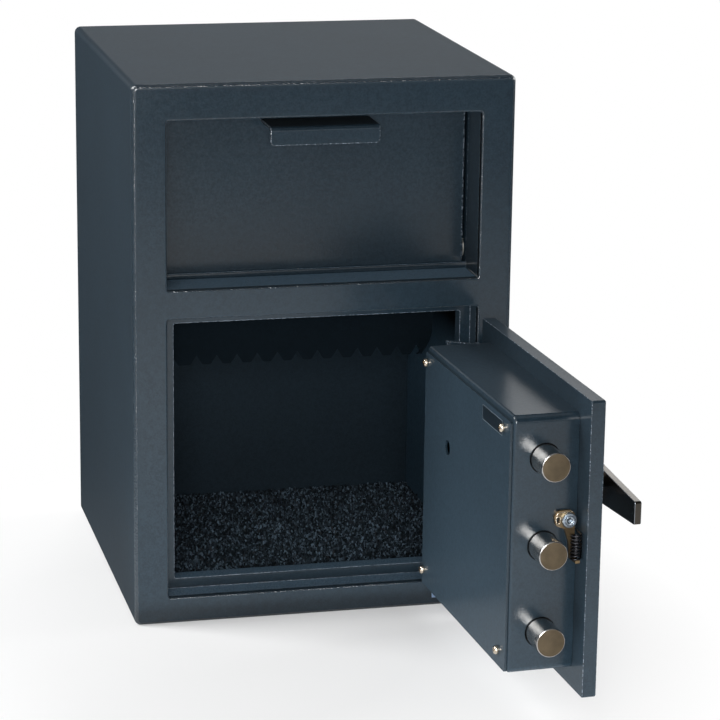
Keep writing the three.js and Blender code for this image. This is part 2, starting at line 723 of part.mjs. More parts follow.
// Folded housing, open towards the plate, and flanged round its cover
function buildHousing() {
  const boxBack = behindDoor(boxDepth - seatGap);
  const shell = plateWithSoftFront(
    boxFree, boxFoot, boxHinge, boxHead, boxCornerRadius, boxEdgeRadius, -boxBack, -behindDoor(seatGap));
  shell.rotateX(Math.PI).translate(0, 0, boxFoot + boxHead);
  const hollow = prism(rectangle(boxFree + boxWall, boxFoot + boxWall, boxHinge - boxWall, boxHead - boxWall, 2),
    'y', behindDoor(-1), boxBack - boxWall);
  const window = prism(rectangle(boxFree + boxFlange, boxFoot + boxFlange, boxHinge - boxFlange, boxHead - boxFlange, 4),
    'y', behindDoor(0), boxBack + 1);
  const boltHoles = boltHeights.map((height) => rod('x', boltRadius + boltHoleClearance, boxFree - 1, boxFree + boxWall + 1,
    [behindDoor(boltDepth), height], roundSteps));
  const shankHole = rod('x', detentShankRadius + seatGap, boxFree - 1, boxFree + boxWall + 1,
    [behindDoor(detentPivotDepth), detentPivotHeight], 12);
  const screwHoles = coverScrewPlaces().map((centre) => rod('y', coverScrewShankRadius + seatGap, boxBack - boxWall - 1, boxBack + 1, centre, 12));
  place(shutDoor, 'bolt_housing', cut(shell, hollow, window, ...boltHoles, shankHole, ...screwHoles), paint);

  const sheet = prism(
    rectangle(
      boxFree + coverInsets.free, boxFoot + coverInsets.bottom, boxHinge - coverInsets.hinge, boxHead - coverInsets.top, 2),
    'y', behindDoor(boxDepth), behindDoor(boxDepth + coverThickness), [
      circle(dialX + changeHoleOffset[0], dialZ + changeHoleOffset[1], changeHoleRadius, 24),
      ...coverScrewPlaces().map(([x, z]) => circle(x, z, coverScrewShankRadius + seatGap, 12)),
    ]);
  place(shutDoor, 'housing_cover', sheet, paint);

  coverScrewPlaces().forEach((centre, index) => {
    const seat = behindDoor(boxDepth + coverThickness + seatGap);
    const screw = turned([
      [0, -coverThickness - boxWall], [coverScrewShankRadius, -coverThickness - boxWall], [coverScrewShankRadius, 0],
      [coverScrewHeadRadius, 0], [coverScrewHeadRadius, coverScrewHead * 0.5],
      [coverScrewHeadRadius * 0.7, coverScrewHead], [0, coverScrewHead],
    ], 'y', [centre[0], seat, centre[1]], 16);
    place(shutDoor, `cover_screw_${index + 1}`, screw, steel);
  });
}

function coverScrewPlaces() {
  const { hinge, free, top, bottom } = coverScrewInsets;
  return [boxHead - top, boxFoot + bottom].flatMap((z) => [[boxHinge - hinge, z], [boxFree + free, z]]);
}

// Hooked bar on the hinge side of the housing
function buildDeadBar() {
  const near = boxHinge + seatGap;
  const far = near + deadBarThickness;
  const slope = deadBarSlope * degrees;
  const tipX = boxHinge + deadBarTip;
  const bendDepth = deadBarStart + deadBarLanding;
  const tipDepth = bendDepth + (tipX - far) * Math.tan(slope);
  const acrossX = deadBarThickness / Math.sin(slope);
  const section = outline([
    [near, behindDoor(deadBarStart)], [far, behindDoor(deadBarStart)], [far, behindDoor(bendDepth), 3],
    [tipX, behindDoor(tipDepth)], [tipX - acrossX, behindDoor(tipDepth)],
    [near, behindDoor(tipDepth - (tipX - acrossX - near) * Math.tan(slope)), 2],
  ]);
  place(shutDoor, 'dead_bar', prism(section, 'z', boxFoot + deadBarInset, boxHead - deadBarInset), paint);
}

// Bolts, the bar that carries them, its screws and the guide plate
function buildBolts() {
  boltHeights.forEach((height, index) => {
    const bolt = turned([
      [0, 0], [boltRadius - boltChamfer, 0], [boltRadius, boltChamfer], [boltRadius, boltLength],
      [barScrewRadius + seatGap, boltLength], [barScrewRadius + seatGap, boltLength - barScrewGrip - 1],
      [0, boltLength - barScrewGrip - 1],
    ], 'x', [boltTip, behindDoor(boltDepth), height], roundSteps);
    place(shutDoor, `bolt_${index + 1}`, bolt, brushedChrome);

    const seat = boltEnd + seatGap + barThickness + seatGap;
    const screw = join(
      rod('x', barScrewRadius, seat - barThickness - barScrewGrip, seat + 1, [behindDoor(boltDepth), height], 16),
      prism(circle(behindDoor(boltDepth), height, barScrewHeadRadius, 6), 'x', seat, seat + barScrewHead));
    place(shutDoor, `bolt_screw_${index + 1}`, screw, steel);
  });

  const barX = boltEnd + seatGap;
  const barOutline = rectangle(behindDoor(boltDepth - barWidth / 2), boltHeights[2] - barEnd,
    behindDoor(boltDepth + barWidth / 2), boltHeights[0] + barEnd, 3);
  const holes = boltHeights.map((height) => circle(behindDoor(boltDepth), height, barScrewRadius + seatGap, 16));
  const bar = prism(barOutline, 'x', barX, barX + barThickness, holes);

  // Arm with the slot for the crank pin, and the tail that meets the lock bolt
  const crankRadius = boltTravel / 2 / Math.sin((handleTurn / 2) * degrees);
  const pinX = handleX - boltTravel / 2;
  const pinZ = handleZ - crankRadius * Math.cos((handleTurn / 2) * degrees);
  const pinLowZ = handleZ - crankRadius;
  const slotHalf = crankPinRadius + slotClearance;
  const slot = outline([
    [pinX - slotHalf, pinLowZ - slotHalf, 4], [pinX + slotHalf, pinLowZ - slotHalf, 4],
    [pinX + slotHalf, pinZ + slotHalf, 4], [pinX - slotHalf, pinZ + slotHalf, 4],
  ]);
  const armEnd = pinX + slotHalf + 6;
  const tailHead = lockFoot - tailDrop;
  const tailEnd = dialX - lockBoltWidth / 2 - seatGap * 2;
  const armOutline = outline([
    [barX + 1, tailHead - tailHeight], [tailEnd, tailHead - tailHeight], [tailEnd, tailHead],
    [armEnd, tailHead, 3], [armEnd, pinZ + slotHalf + 8, 4], [barX + 1, pinZ + slotHalf + armRise],
  ]);
  const arm = prism(armOutline, 'y', behindDoor(armDepth), behindDoor(armDepth + armThickness), [slot]);
  place(shutDoor, 'bolt_bar', join(bar, arm), steel);

  const uprightX = boxFree + boxWall + guideInset;
  const guideFoot = boltHeights[2] - barEnd - 6;
  const guideHead = boltHeights[0] + barEnd + 6;
  const guideUpright = prism(rectangle(behindDoor(seatGap), guideFoot, behindDoor(boltDepth + barWidth / 2 + 4), guideHead),
    'x', uprightX - guidePlate, uprightX,
    boltHeights.map((height) => circle(behindDoor(boltDepth), height, boltRadius + boltHoleClearance)));
  const guideBase = prism(rectangle(boxFree + boxWall + 1, guideFoot, uprightX, guideHead), 'y', behindDoor(seatGap), behindDoor(seatGap + guidePlate));
  place(shutDoor, 'bolt_guide', join(guideUpright, guideBase), steel);
}

// Handle outside, its rose and shaft, and the crank inside
function buildHandle() {
  const rose = turned([
    [shaftRadius + turnGap, 0], [roseRadius, 0], [roseRadius, -roseThickness * 0.5],
    [roseRadius - 2, -roseThickness], [shaftRadius + turnGap, -roseThickness], [shaftRadius + turnGap, 0],
  ], 'y', [handleX, aheadOfDoor(seatGap), handleZ]);
  place(shutDoor, 'handle_rose', rose, chrome);

  const barBack = aheadOfDoor(handleStandoff);
  const barFront = aheadOfDoor(handleStandoff + handleThickness);
  const tipX = handleX - handleLength;
  const tipHalf = handleTipHeight / 2;
  const tangentAngle = Math.asin((handleHubRadius - tipHalf) / handleLength) / degrees;
  const hub = arc(handleX, handleZ, handleHubRadius, -90 - tangentAngle, 90 + tangentAngle, 20);
  const barPoints = [
    ...hub, ...outline([[tipX, handleZ + tipHalf, 2], [tipX, handleZ - tipHalf, 2], [handleX, handleZ - handleHubRadius]]).slice(0, -1),
  ];
  const bar = prism(barPoints, 'y', barFront, barBack);
  const neck = turned([
    [0, 0], [hubNeckRadius + 3, 0], [hubNeckRadius, 5], [hubNeckRadius, handleStandoff - roseThickness], [0, handleStandoff - roseThickness],
  ].map(([radius, along]) => [radius, -along]), 'y', [handleX, aheadOfDoor(roseThickness + seatGap * 2), handleZ]);
  const socket = rod('y', shaftRadius + seatGap, aheadOfDoor(handleStandoff - 8), aheadOfDoor(0), [handleX, handleZ]);
  place(shutDoor, 'handle_lever', cut(join(bar, neck), socket), chrome);

  const shaftEnd = behindDoor(crankDepth - seatGap);
  place(shutDoor, 'handle_shaft', rod('y', shaftRadius, aheadOfDoor(handleStandoff - 8 - seatGap), shaftEnd, [handleX, handleZ]), steel);

  const crankRadius = boltTravel / 2 / Math.sin((handleTurn / 2) * degrees);
  const towards = (-90 - handleTurn / 2) * degrees;
  const pinCentre = [handleX + crankRadius * Math.cos(towards), handleZ + crankRadius * Math.sin(towards)];
  const web = prism(circle(handleX, handleZ, shaftRadius + 3), 'y', behindDoor(crankDepth), behindDoor(crankDepth + crankThickness));
  const boss = prism(circle(...pinCentre, crankPinRadius + 4), 'y', behindDoor(crankDepth), behindDoor(crankDepth + crankThickness));
  const pin = rod('y', crankPinRadius, behindDoor(crankDepth + 1), behindDoor(crankDepth + crankThickness + crankPinReach), pinCentre, 16);
  place(shutDoor, 'handle_crank', join(web, boss, pin), steel);
}

// Dial with its ring, spindle, drive cam and wheels
function buildDial() {
  const ring = turned([
    [dialRadius + 1.5, 0], [dialRingRadius, 0], [dialRingRadius, -dialRingThickness * 0.55], [dialRingRadius - 4, -dialRingThickness],
    [dialRadius + 1.5, -dialRingThickness], [dialRadius + 1.5, 0],
  ], 'y', [dialX, aheadOfDoor(seatGap), dialZ]);
  const index = prism([
    new THREE.Vector2(dialX - 2, dialZ + dialRingRadius + 1), new THREE.Vector2(dialX, dialZ + dialRadius + 3),
    new THREE.Vector2(dialX + 2, dialZ + dialRingRadius + 1),
  ], 'y', aheadOfDoor(dialRingThickness + 2), aheadOfDoor(dialRingThickness - 1.2));
  place(shutDoor, 'dial_ring', cut(ring, index), black);

  const gap = 1.5;
  const disc = turned([
    [0, 0], [dialRadius, 0], [dialRadius, -dialThickness * 0.5], [dialRadius - 9, -dialThickness], [0, -dialThickness],
  ], 'y', [dialX, aheadOfDoor(gap), dialZ]);
  const knobPoints = Array.from({ length: dialFlutes * 2 }, (_, step) => {
    const radius = dialKnobRadius - (step % 2);
    const angle = (Math.PI * step) / dialFlutes;
    return new THREE.Vector2(dialX + radius * Math.cos(angle), dialZ + radius * Math.sin(angle));
  });
  const knob = prism(knobPoints, 'y', aheadOfDoor(gap + dialThickness + dialKnobLength), aheadOfDoor(gap + dialThickness - 1));
  const socket = rod('y', spindleRadius + seatGap, aheadOfDoor(gap + dialThickness), aheadOfDoor(0), [dialX, dialZ]);
  place(shutDoor, 'dial', cut(join(disc, knob), socket), black);

  const spindleEnd = lockTop + lockFloor + 1 + camThickness + 3 * wheelPitch + 2;
  place(shutDoor, 'dial_spindle', rod('y', spindleRadius, aheadOfDoor(gap + dialThickness - seatGap), behindDoor(spindleEnd), [dialX, dialZ]), steel);

  const eye = circle(dialX, dialZ, spindleRadius + seatGap, smallRoundSteps);
  for (let wheel = 0; wheel < 3; wheel += 1) {
    const start = behindDoor(lockTop + lockFloor + 1 + wheel * wheelPitch);
    const disc = prism(circle(dialX, dialZ, wheelRadius), 'y', start, start + wheelThickness, [eye]);
    const gateAngle = 40 + 115 * wheel;
    const gate = prism(rectangle(wheelRadius - 5, -wheelGate / 2, wheelRadius + 2, wheelGate / 2), 'y', start - 1, start + wheelThickness + 1);
    gate.rotateY(-gateAngle * degrees).translate(dialX, 0, dialZ);
    place(shutDoor, `lock_wheel_${wheel + 1}`, cut(disc, gate), brass);
  }
  const camStart = behindDoor(lockTop + lockFloor + 1 + 3 * wheelPitch);
  const camDisc = prism(circle(dialX, dialZ, camRadius), 'y', camStart, camStart + camThickness, [eye]);
  const nose = prism(rectangle(-3, camRadius - 4, 3, camRadius + 2), 'y', camStart - 1, camStart + camThickness + 1);
  nose.translate(dialX, 0, dialZ);
  place(shutDoor, 'drive_cam', cut(camDisc, nose), brass);
}

// Lock case with its cover, its bolt and the hard plate under it
function buildLock() {
  const left = dialX - lockWidth / 2;
  const right = dialX + lockWidth / 2;
  const head = lockFoot + lockHeight;
  const hard = prism(
    rectangle(left + hardPlateMargin, lockFoot + hardPlateMargin, right - hardPlateMargin, head - hardPlateMargin, 3),
    'y', behindDoor(seatGap), behindDoor(seatGap + hardPlateThickness), [circle(dialX, dialZ, spindleRadius + turnGap * 2, 16)]);
  place(shutDoor, 'hard_plate', hard, steel);

  const caseOutline = rectangle(left, lockFoot, right, head, lockCornerRadius);
  const block = prism(caseOutline, 'y', behindDoor(lockTop), behindDoor(lockTop + lockDepth));
  const pocket = rod('y', lockPocketRadius, behindDoor(lockTop + lockFloor), behindDoor(lockTop + lockDepth) + 1, [dialX, dialZ], roundSteps);
  const spindleHole = rod('y', spindleRadius + turnGap * 2, behindDoor(lockTop - 1), behindDoor(lockTop + lockFloor + 1), [dialX, dialZ]);
  const boltHalf = lockBoltWidth / 2 + seatGap;
  const channelStart = behindDoor(lockTop + lockBoltDepth - seatGap);
  const channel = prism(rectangle(dialX - boltHalf, lockFoot - 1, dialX + boltHalf, dialZ - lockPocketRadius * 0.5),
    'y', channelStart, channelStart + lockBoltThickness + 2 * seatGap);
  place(shutDoor, 'lock_case', cut(block, pocket, spindleHole, channel), castZinc);

  const coverHole = circle(dialX + changeHoleOffset[0], dialZ + changeHoleOffset[1], 4, 16);
  const coverStart = behindDoor(lockTop + lockDepth + seatGap);
  place(shutDoor, 'lock_cover', prism(caseOutline, 'y', coverStart, coverStart + lockCoverThickness, [coverHole]), brass);

  const bolt = prism(rectangle(dialX - lockBoltWidth / 2, lockFoot + 0.5, dialX + lockBoltWidth / 2, lockFoot + lockBoltLength, 1),
    'y', behindDoor(lockTop + lockBoltDepth), behindDoor(lockTop + lockBoltDepth + lockBoltThickness));
  place(shutDoor, 'lock_bolt', bolt, brass);
}

// Detent lever on the free side of the housing, its screw and its spring
function buildDetent() {
  const wall = boxFree - seatGap;
  const outerFace = wall - detentThickness;
  const depth = detentPivotDepth;
  const height = detentPivotHeight;
  const corner = (away, up, radius) => [behindDoor(depth + away), height + up, radius];
  const lever = outline([
    corner(-detentNeck, detentHeadTop / 2, 4), corner(-detentNeck / 3, detentHeadTop, 3),
    corner(detentHead * 0.8, detentHeadTop, 4), corner(detentHead, detentHeadTop / 3, 3),
    corner(detentHead * 0.85, -detentHeadFoot * 0.6, 3), corner(detentHead / 4, -detentHeadFoot, 4),
    corner(detentShankWidth - detentNeck, -detentShank, 3), corner(detentShankWidth - detentNeck - 1, -detentLength, 1.5),
    corner(0.5 - detentNeck, -detentLength, 1.5), corner(-detentNeck, -detentShank, 3),
    corner(0.5 - detentNeck, -detentHeadFoot, 2),
  ]);
  const eye = circle(behindDoor(depth), height, detentShankRadius + turnGap, 16);
  const holeDepth = behindDoor(depth + detentHead - detentHoleInset);
  const holeTop = arc(holeDepth, height + detentHoleStraight / 2, detentHoleRadius, 0, 180, 5);
  const holeFoot = arc(holeDepth, height - detentHoleStraight / 2, detentHoleRadius, 180, 360, 5);
  const plate = prism(lever, 'x', outerFace, wall, [eye, [...holeTop, ...holeFoot]]);
  const footHead = height - detentLength + detentFootThickness;
  const footDepths = [0.5 - detentNeck, detentShankWidth - detentNeck - 1].map((away) => behindDoor(depth + away));
  const footOutline = rectangle(footDepths[0], height - detentLength, footDepths[1], footHead);
  const foot = prism(footOutline, 'x', outerFace - detentFootReach, wall);
  place(shutDoor, 'detent_lever', join(plate, foot), zinc);

  const seat = outerFace - seatGap;
  const screw = turned([
    [0, -detentThickness - boxWall - seatGap], [detentShankRadius, -detentThickness - boxWall - seatGap], [detentShankRadius, 0],
    [detentScrewRadius, 0], [detentScrewRadius, detentScrewDome * 0.4], [detentScrewRadius * 0.8, detentScrewDome * 0.85],
    [detentScrewRadius * 0.35, detentScrewDome], [0, detentScrewDome],
  ].map(([radius, along]) => [radius, -along]), 'x', [seat, behindDoor(depth), height], 24);
  place(shutDoor, 'detent_screw', screw, chrome);

  // Coil that stands on the lever's foot, as one unbroken wire whose upper end runs back to the wall
  const centre = new THREE.Vector3(outerFace - springStandoff,
    behindDoor(seatGap + springWire + springRadius), footHead + seatGap + springWire);
  const stepsPerTurn = 8;
  const loopAt = (middle, outward) => Array.from({ length: 5 }, (_, corner5) => {
    const around = (2 * Math.PI * corner5) / 5;
    const up = new THREE.Vector3(0, 0, springWire * Math.sin(around));
    return middle.clone().addScaledVector(outward, springWire * Math.cos(around)).add(up);
  });
  const middles = [];
  const loops = [];
  for (let step = 0; step <= (springTurns - 0.25) * stepsPerTurn; step += 1) {
    const angle = (2 * Math.PI * step) / stepsPerTurn;
    const outward = new THREE.Vector3(Math.cos(angle), Math.sin(angle), 0);
    const rise = (springPitch * step) / stepsPerTurn;
    middles.push(centre.clone().addScaledVector(outward, springRadius).setZ(centre.z + rise));
    loops.push(loopAt(middles.at(-1), outward));
  }
  const legEnd = middles.at(-1).clone().setX(wall);
  loops.push(loopAt(legEnd, new THREE.Vector3(0, -1, 0)));
  const apart = middles.flatMap((middle, index) => middles.slice(index + stepsPerTurn / 2).map((other) => middle.distanceTo(other)));
  console.log(`detent_spring: least gap to itself ${(Math.min(...apart) - 2 * springWire).toFixed(2)} mm`);
  place(shutDoor, 'detent_spring', wireOver(loops), black);
}

// Round wire over five-sided loops, with a fan over each end
function wireOver(loops) {
  const count = loops[0].length;
  const positions = loops.flat().flatMap((point) => point.toArray());
  const index = [];
  for (let ring = 0; ring < loops.length - 1; ring += 1) {
    for (let step = 0; step < count; step += 1) {
      const a = ring * count + step;
      const b = ring * count + ((step + 1) % count);
      index.push(a, b + count, b, a, a + count, b + count);
    }
  }
  const last = (loops.length - 1) * count;
  for (let step = 1; step < count - 1; step += 1) {
    index.push(0, step, step + 1);
    index.push(last, last + step + 1, last + step);
  }
  const geometry = new THREE.BufferGeometry();
  geometry.setAttribute('position', new THREE.Float32BufferAttribute(positions, 3));
  geometry.setIndex(index);
  return geometry;
}

buildBody();
buildJamb();
buildRecess();
buildBaffles();
buildStop();
buildHopper();
buildCarpet();
buildHinges();
buildDoorPlate();
buildHousing();
buildDeadBar();
buildBolts();
buildHandle();
buildDial();
buildLock();
buildDetent();

export default safe;
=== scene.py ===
# Looks of a front-loading drop safe: painted steel body, tilting hopper and an open door with its bolt work.
# Meshes are in metres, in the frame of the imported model. Sizes of pieces are written in millimetres and
# times MM they are metres.

import json
import math

import bmesh
import bpy
from mathutils import Matrix, Vector


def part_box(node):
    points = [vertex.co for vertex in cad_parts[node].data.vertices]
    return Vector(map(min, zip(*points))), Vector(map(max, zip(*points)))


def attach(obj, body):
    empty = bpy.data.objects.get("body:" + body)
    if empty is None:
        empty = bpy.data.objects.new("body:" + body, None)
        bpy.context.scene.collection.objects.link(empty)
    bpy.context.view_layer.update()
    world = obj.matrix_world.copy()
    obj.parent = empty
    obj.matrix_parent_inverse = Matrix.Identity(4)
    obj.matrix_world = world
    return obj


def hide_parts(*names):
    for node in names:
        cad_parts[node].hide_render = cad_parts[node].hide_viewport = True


bl_info = {
    "name": "Drop safe",
    "version": (1, 0, 0),
    "blender": (4, 5, 0),
    "location": "View3D > Sidebar > Drop safe",
    "description": "Builds the finished pieces of a drop safe round its packed frame",
    "category": "Object",
}

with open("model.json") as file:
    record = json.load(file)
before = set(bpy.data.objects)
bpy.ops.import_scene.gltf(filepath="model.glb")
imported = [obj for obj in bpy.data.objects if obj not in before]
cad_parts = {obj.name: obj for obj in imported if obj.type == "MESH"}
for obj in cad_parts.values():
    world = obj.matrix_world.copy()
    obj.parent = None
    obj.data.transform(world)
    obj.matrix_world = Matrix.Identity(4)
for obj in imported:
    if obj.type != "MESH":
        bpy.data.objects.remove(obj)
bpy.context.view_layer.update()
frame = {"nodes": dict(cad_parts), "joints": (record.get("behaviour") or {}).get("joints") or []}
MM = 0.001

# The door turns about its hinge; its pieces are laid out as if it were shut
door_joint = next(joint for joint in frame["joints"] if joint["name"] == "door_swing")
hinge = Vector(door_joint["pos_m"])
open_angle = math.radians(-door_joint["range_deg"][0])
DOOR = Matrix.Translation(hinge) @ Matrix.Rotation(open_angle, 4, "Z") @ Matrix.Translation(-hinge)
FRONT_FACE = -177.8  # mm, y of the front face of the body
DOOR_BACK = -152.3  # mm, y of the shut door's inner face
DOOR_FACE = -165.0  # mm, y of its outer face
COVER_FACE = DOOR_BACK + 60.0  # mm, y of the inner face of the housing's cover
HOUSING_SIDE = -117.15  # mm, x of the side of the housing that the bolts come out of
LEVER_FACE = -120.45  # mm, x of the outer face of the detent lever

# The dial of the shut door: places are mm, and heights are from its back
DIAL_PLACE = (40.6, -166.5, 186.5)
DIAL_RIM = 35.5
CONE_FOOT = 4.5
CONE_TOP = 26.5
DIAL_FACE = 9.0
SLOPE = math.atan2(DIAL_FACE - CONE_FOOT, DIAL_RIM - CONE_TOP)
ON_DIAL = DOOR @ (Matrix.Translation(Vector(DIAL_PLACE) * MM) @ Matrix.Rotation(math.pi / 2, 4, "X"))

SHARP = math.radians(32)  # edges that turn by more are drawn sharp, or rounded


# Shader maths


class Field:
    """A number or colour that changes over a surface, for use in expressions."""

    def __init__(self, recipe, socket):
        self.recipe = recipe
        self.socket = socket

    def maths(self, operation, first, second):
        settings = {"operation": operation}
        return self.recipe.field("ShaderNodeMath", settings, {0: first, 1: second})

    def __add__(self, other):
        return self.maths("ADD", self, other)

    def __radd__(self, other):
        return self.maths("ADD", other, self)

    def __sub__(self, other):
        return self.maths("SUBTRACT", self, other)

    def __rsub__(self, other):
        return self.maths("SUBTRACT", other, self)

    def __mul__(self, other):
        return self.maths("MULTIPLY", self, other)

    def __rmul__(self, other):
        return self.maths("MULTIPLY", other, self)


class Nodes:
    """A node tree that is built node by node."""

    def node(self, kind, settings=None, values=None):
        """One node of a kind: its settings come first, then the values or links of its sockets."""
        made = self.tree.nodes.new(kind)
        for name, value in (settings or {}).items():
            if name == "stops":
                ramp = made.color_ramp
                while len(ramp.elements) < len(value):
                    ramp.elements.new(1.0)
                for element, (position, colour) in zip(ramp.elements, value):
                    element.position = position
                    element.color = colour
            else:
                setattr(made, name, value)
        for name, value in (values or {}).items():
            source = value.socket if isinstance(value, Field) else value
            if isinstance(source, bpy.types.NodeSocket):
                self.tree.links.new(source, made.inputs[name])
            else:
                made.inputs[name].default_value = source
        return made


class Recipe(Nodes):
    """The node tree of one finish, or of the world."""

    def __init__(self, name, world=False):
        self.owner = (bpy.data.worlds if world else bpy.data.materials).new(name)
        self.owner.use_nodes = True
        self.tree = self.owner.node_tree
        self.tree.nodes.clear()
        self.output = self.node("ShaderNodeOutputWorld" if world else "ShaderNodeOutputMaterial")
        self.place = self.node("ShaderNodeTexCoord").outputs["Object"]

    def field(self, kind, settings=None, values=None, output=0):
        return Field(self, self.node(kind, settings, values).outputs[output])

    def noise(self, scale, detail=2.0, roughness=0.5):
        values = {"Vector": self.place, "Scale": scale, "Detail": detail, "Roughness": roughness}
        return self.field("ShaderNodeTexNoise", None, values, "Fac")

    def steps(self, field, low, high):
        """A field taken from low..high to 0..1 and held there."""
        values = {"Value": field, "From Min": low, "From Max": high}
        return self.field("ShaderNodeMapRange", {"clamp": True}, values)

    def blend(self, share, first, second):
        """A colour between two others."""
        return self.field("ShaderNodeMix", {"data_type": "RGBA"}, {6: first, 7: second, 0: share}, 2)

    def attribute(self, name):
        return self.field("ShaderNodeAttribute", {"attribute_name": name}, None, "Fac")

    def bump(self, height, distance, strength=1.0):
        values = {"Height": height, "Distance": distance, "Strength": strength}
        return self.field("ShaderNodeBump", None, values, "Normal")

    def gloss(self, colour, roughness, metallic=0.0, normal=None, specular=0.5):
        values = {
            "Base Color": colour, "Roughness": roughness,
            "Metallic": metallic, "Specular IOR Level": specular,
        }
        if normal:
            values["Normal"] = normal
        return self.node("ShaderNodeBsdfPrincipled", None, values)

    def finish(self, colour, roughness, metallic=0.0, normal=None, specular=0.5):
        return self.surface(self.gloss(colour, roughness, metallic, normal, specular))

    def surface(self, shader):
        self.tree.links.new(shader.outputs[0], self.output.inputs["Surface"])
        return self.owner

    def distance_from(self, x, y):
        """Distance along the floor from a point on it."""
        values = {"Vector": self.place, "Location": (-x, -y, 0.0)}
        offset = self.node("ShaderNodeMapping", None, values)
        return self.field("ShaderNodeVectorMath", {"operation": "LENGTH"}, {0: offset.outputs[0]}, "Value")

    def mixed(self, share, first, second):
        """A shader between two others."""
        values = {0: share, 1: first.outputs[0], 2: second.outputs[0]}
        return self.node("ShaderNodeMixShader", None, values)

    def rings(self, attribute, scale):
        """Noise that changes along a stored distance alone, as turning marks do."""
        values = {"W": self.attribute(attribute), "Scale": scale, "Detail": 2.0}
        return self.field("ShaderNodeTexNoise", {"noise_dimensions": "1D"}, values, "Fac")

    def seen(self):
        """1 for rays from the camera, a reflection or glass, 0 for those that only light other things."""
        path = self.node("ShaderNodeLightPath")
        rays = [Field(self, path.outputs[f"Is {kind} Ray"]) for kind in ("Camera", "Glossy", "Transmission")]
        return self.steps(rays[0] + rays[1] + rays[2], 0.0, 1.0)

    def grazing(self, low, high):
        """0 where the surface is faced and 1 where it is seen at a glancing angle."""
        return self.steps(self.field("ShaderNodeLayerWeight", None, {"Blend": 0.5}, "Facing"), low, high)


def rgba(colour):
    return (colour[0], colour[1], colour[2], 1.0)


def tinted(colour, factor):
    return (colour[0] * factor, colour[1] * factor, colour[2] * factor, 1.0)


# Finishes, each made once and kept by name

finishes = {}


def enamel(name, tone, roughness, grain_height, edge=0.0, specular=None, painted_shade_heights=None, bare=0.52):
    """Textured enamel: fine grain and a broader orange peel, glossy where faced and duller at a glance.

    On an edge it runs thin, and its specks are paler: partly worn enamel and partly painted glints where
    light would catch; more of them, the lower bare is. Between two given heights it darkens to near black as
    painted shade.
    """
    looks = bpy.context.scene.safe_finishes
    specular = looks.paint_specular if specular is None else specular
    recipe = Recipe(name)
    grain = recipe.noise(looks.paint_grain, 2.0, 0.6)
    peel = recipe.noise(looks.paint_grain * 0.36, 2.0, 0.5)
    cloud = recipe.noise(7.0, 3.0, 0.55)
    share = recipe.steps(grain * 0.5 + peel * 0.3 + cloud * 0.2, 0.4, 0.6)
    colour = recipe.blend(share, tinted(looks.paint, tone * 0.85), tinted(looks.paint, tone * 1.16))
    # Paler specks on edges: partly wear, partly painted glints that stand in for light caught by the edge
    if edge:
        drops = recipe.noise(looks.paint_grain * 1.1, 1.0, 0.5)
        wear_and_glint_beads = recipe.steps(drops, bare, bare + 0.1)
        colour = recipe.blend(wear_and_glint_beads * edge, colour, rgba(looks.paint_worn))
        roughness = roughness - wear_and_glint_beads * 0.12
    # Painted shade: between the two heights the colour falls to near black, where light from the front
    # doesn't reach
    if painted_shade_heights:
        height = recipe.field("ShaderNodeSeparateXYZ", None, {0: recipe.place}, "Z")
        colour = recipe.blend(recipe.steps(height, *painted_shade_heights), colour, (0.001, 0.001, 0.001, 1.0))
    rough = roughness + (grain - 0.5) * 0.16 + (cloud - 0.5) * 0.06
    normal = recipe.bump(grain * 0.5 + peel * 0.5, grain_height, 1.0)
    faced = recipe.gloss(colour, rough, 0.0, normal, specular)
    grazed = recipe.gloss(colour, 0.75, 0.0, normal, specular * 0.3)
    share = recipe.grazing(0.45, 0.8) * looks.paint_dulling
    return recipe.surface(recipe.mixed(share, faced, grazed))


def paint():
    return enamel("slate_paint", 1.0, bpy.context.scene.safe_finishes.paint_roughness, 0.00012)


# Slightly paler enamel on rounded edges, with paler specks: partly wear, partly painted highlights and glints
def paint_edge():
    return enamel("slate_paint_edge", 1.2, 0.2, 0.0008, edge=0.8, specular=1.0)


def paint_round():
    """Enamel drawn tight over a rounded edge, where its grain glints."""
    return enamel("slate_paint_round", 1.0, 0.16, 0.0012, specular=1.0)


def housing_paint():
    """Enamel with more orange peel, on the folded box of the bolt work."""
    return enamel("housing_paint", 1.05, 0.16, 0.0002)


def sill_paint():
    """Paler enamel on the upward faces of the sills: painted light from above, with paler specks that are
    partly wear and partly painted glints.
    """
    return enamel("sill_paint", 5.6, 0.3, 0.0008, edge=0.35, specular=0.8)


def sill_edge():
    """Edges of the sills, paler as a painted highlight and speckled: the specks are partly worn enamel and
    partly painted glints.
    """
    return enamel("sill_edge", 2.0, 0.2, 0.0008, edge=1.0, specular=1.0, bare=0.43)


def housing_edge():
    """Folded edges of the bolt box, made bright as a painted highlight, with paler specks that are partly
    wear and partly painted glints.
    """
    return enamel("housing_edge", 3.0, 0.16, 0.0005, edge=0.9, specular=1.0, bare=0.45)


def inner_paint():
    return enamel("inner_paint", 0.95, 0.5, 0.0003, specular=0.05)


def side_paint():
    """Paler enamel of the compartment's hinge side: painted light on a wall that the light barely reaches,
    with painted shade near its top.
    """
    return enamel("side_paint", 4.0, 0.5, 0.0003, specular=0.1, painted_shade_heights=(0.17, 0.235))


# Very dark enamel on the apron and on the hood behind the hopper: painted shade, for the shadow that the rail
# above throws deep in the compartment
def baffle_paint():
    return enamel("baffle_paint", 0.22, 0.7, 0.0003, specular=0.01)


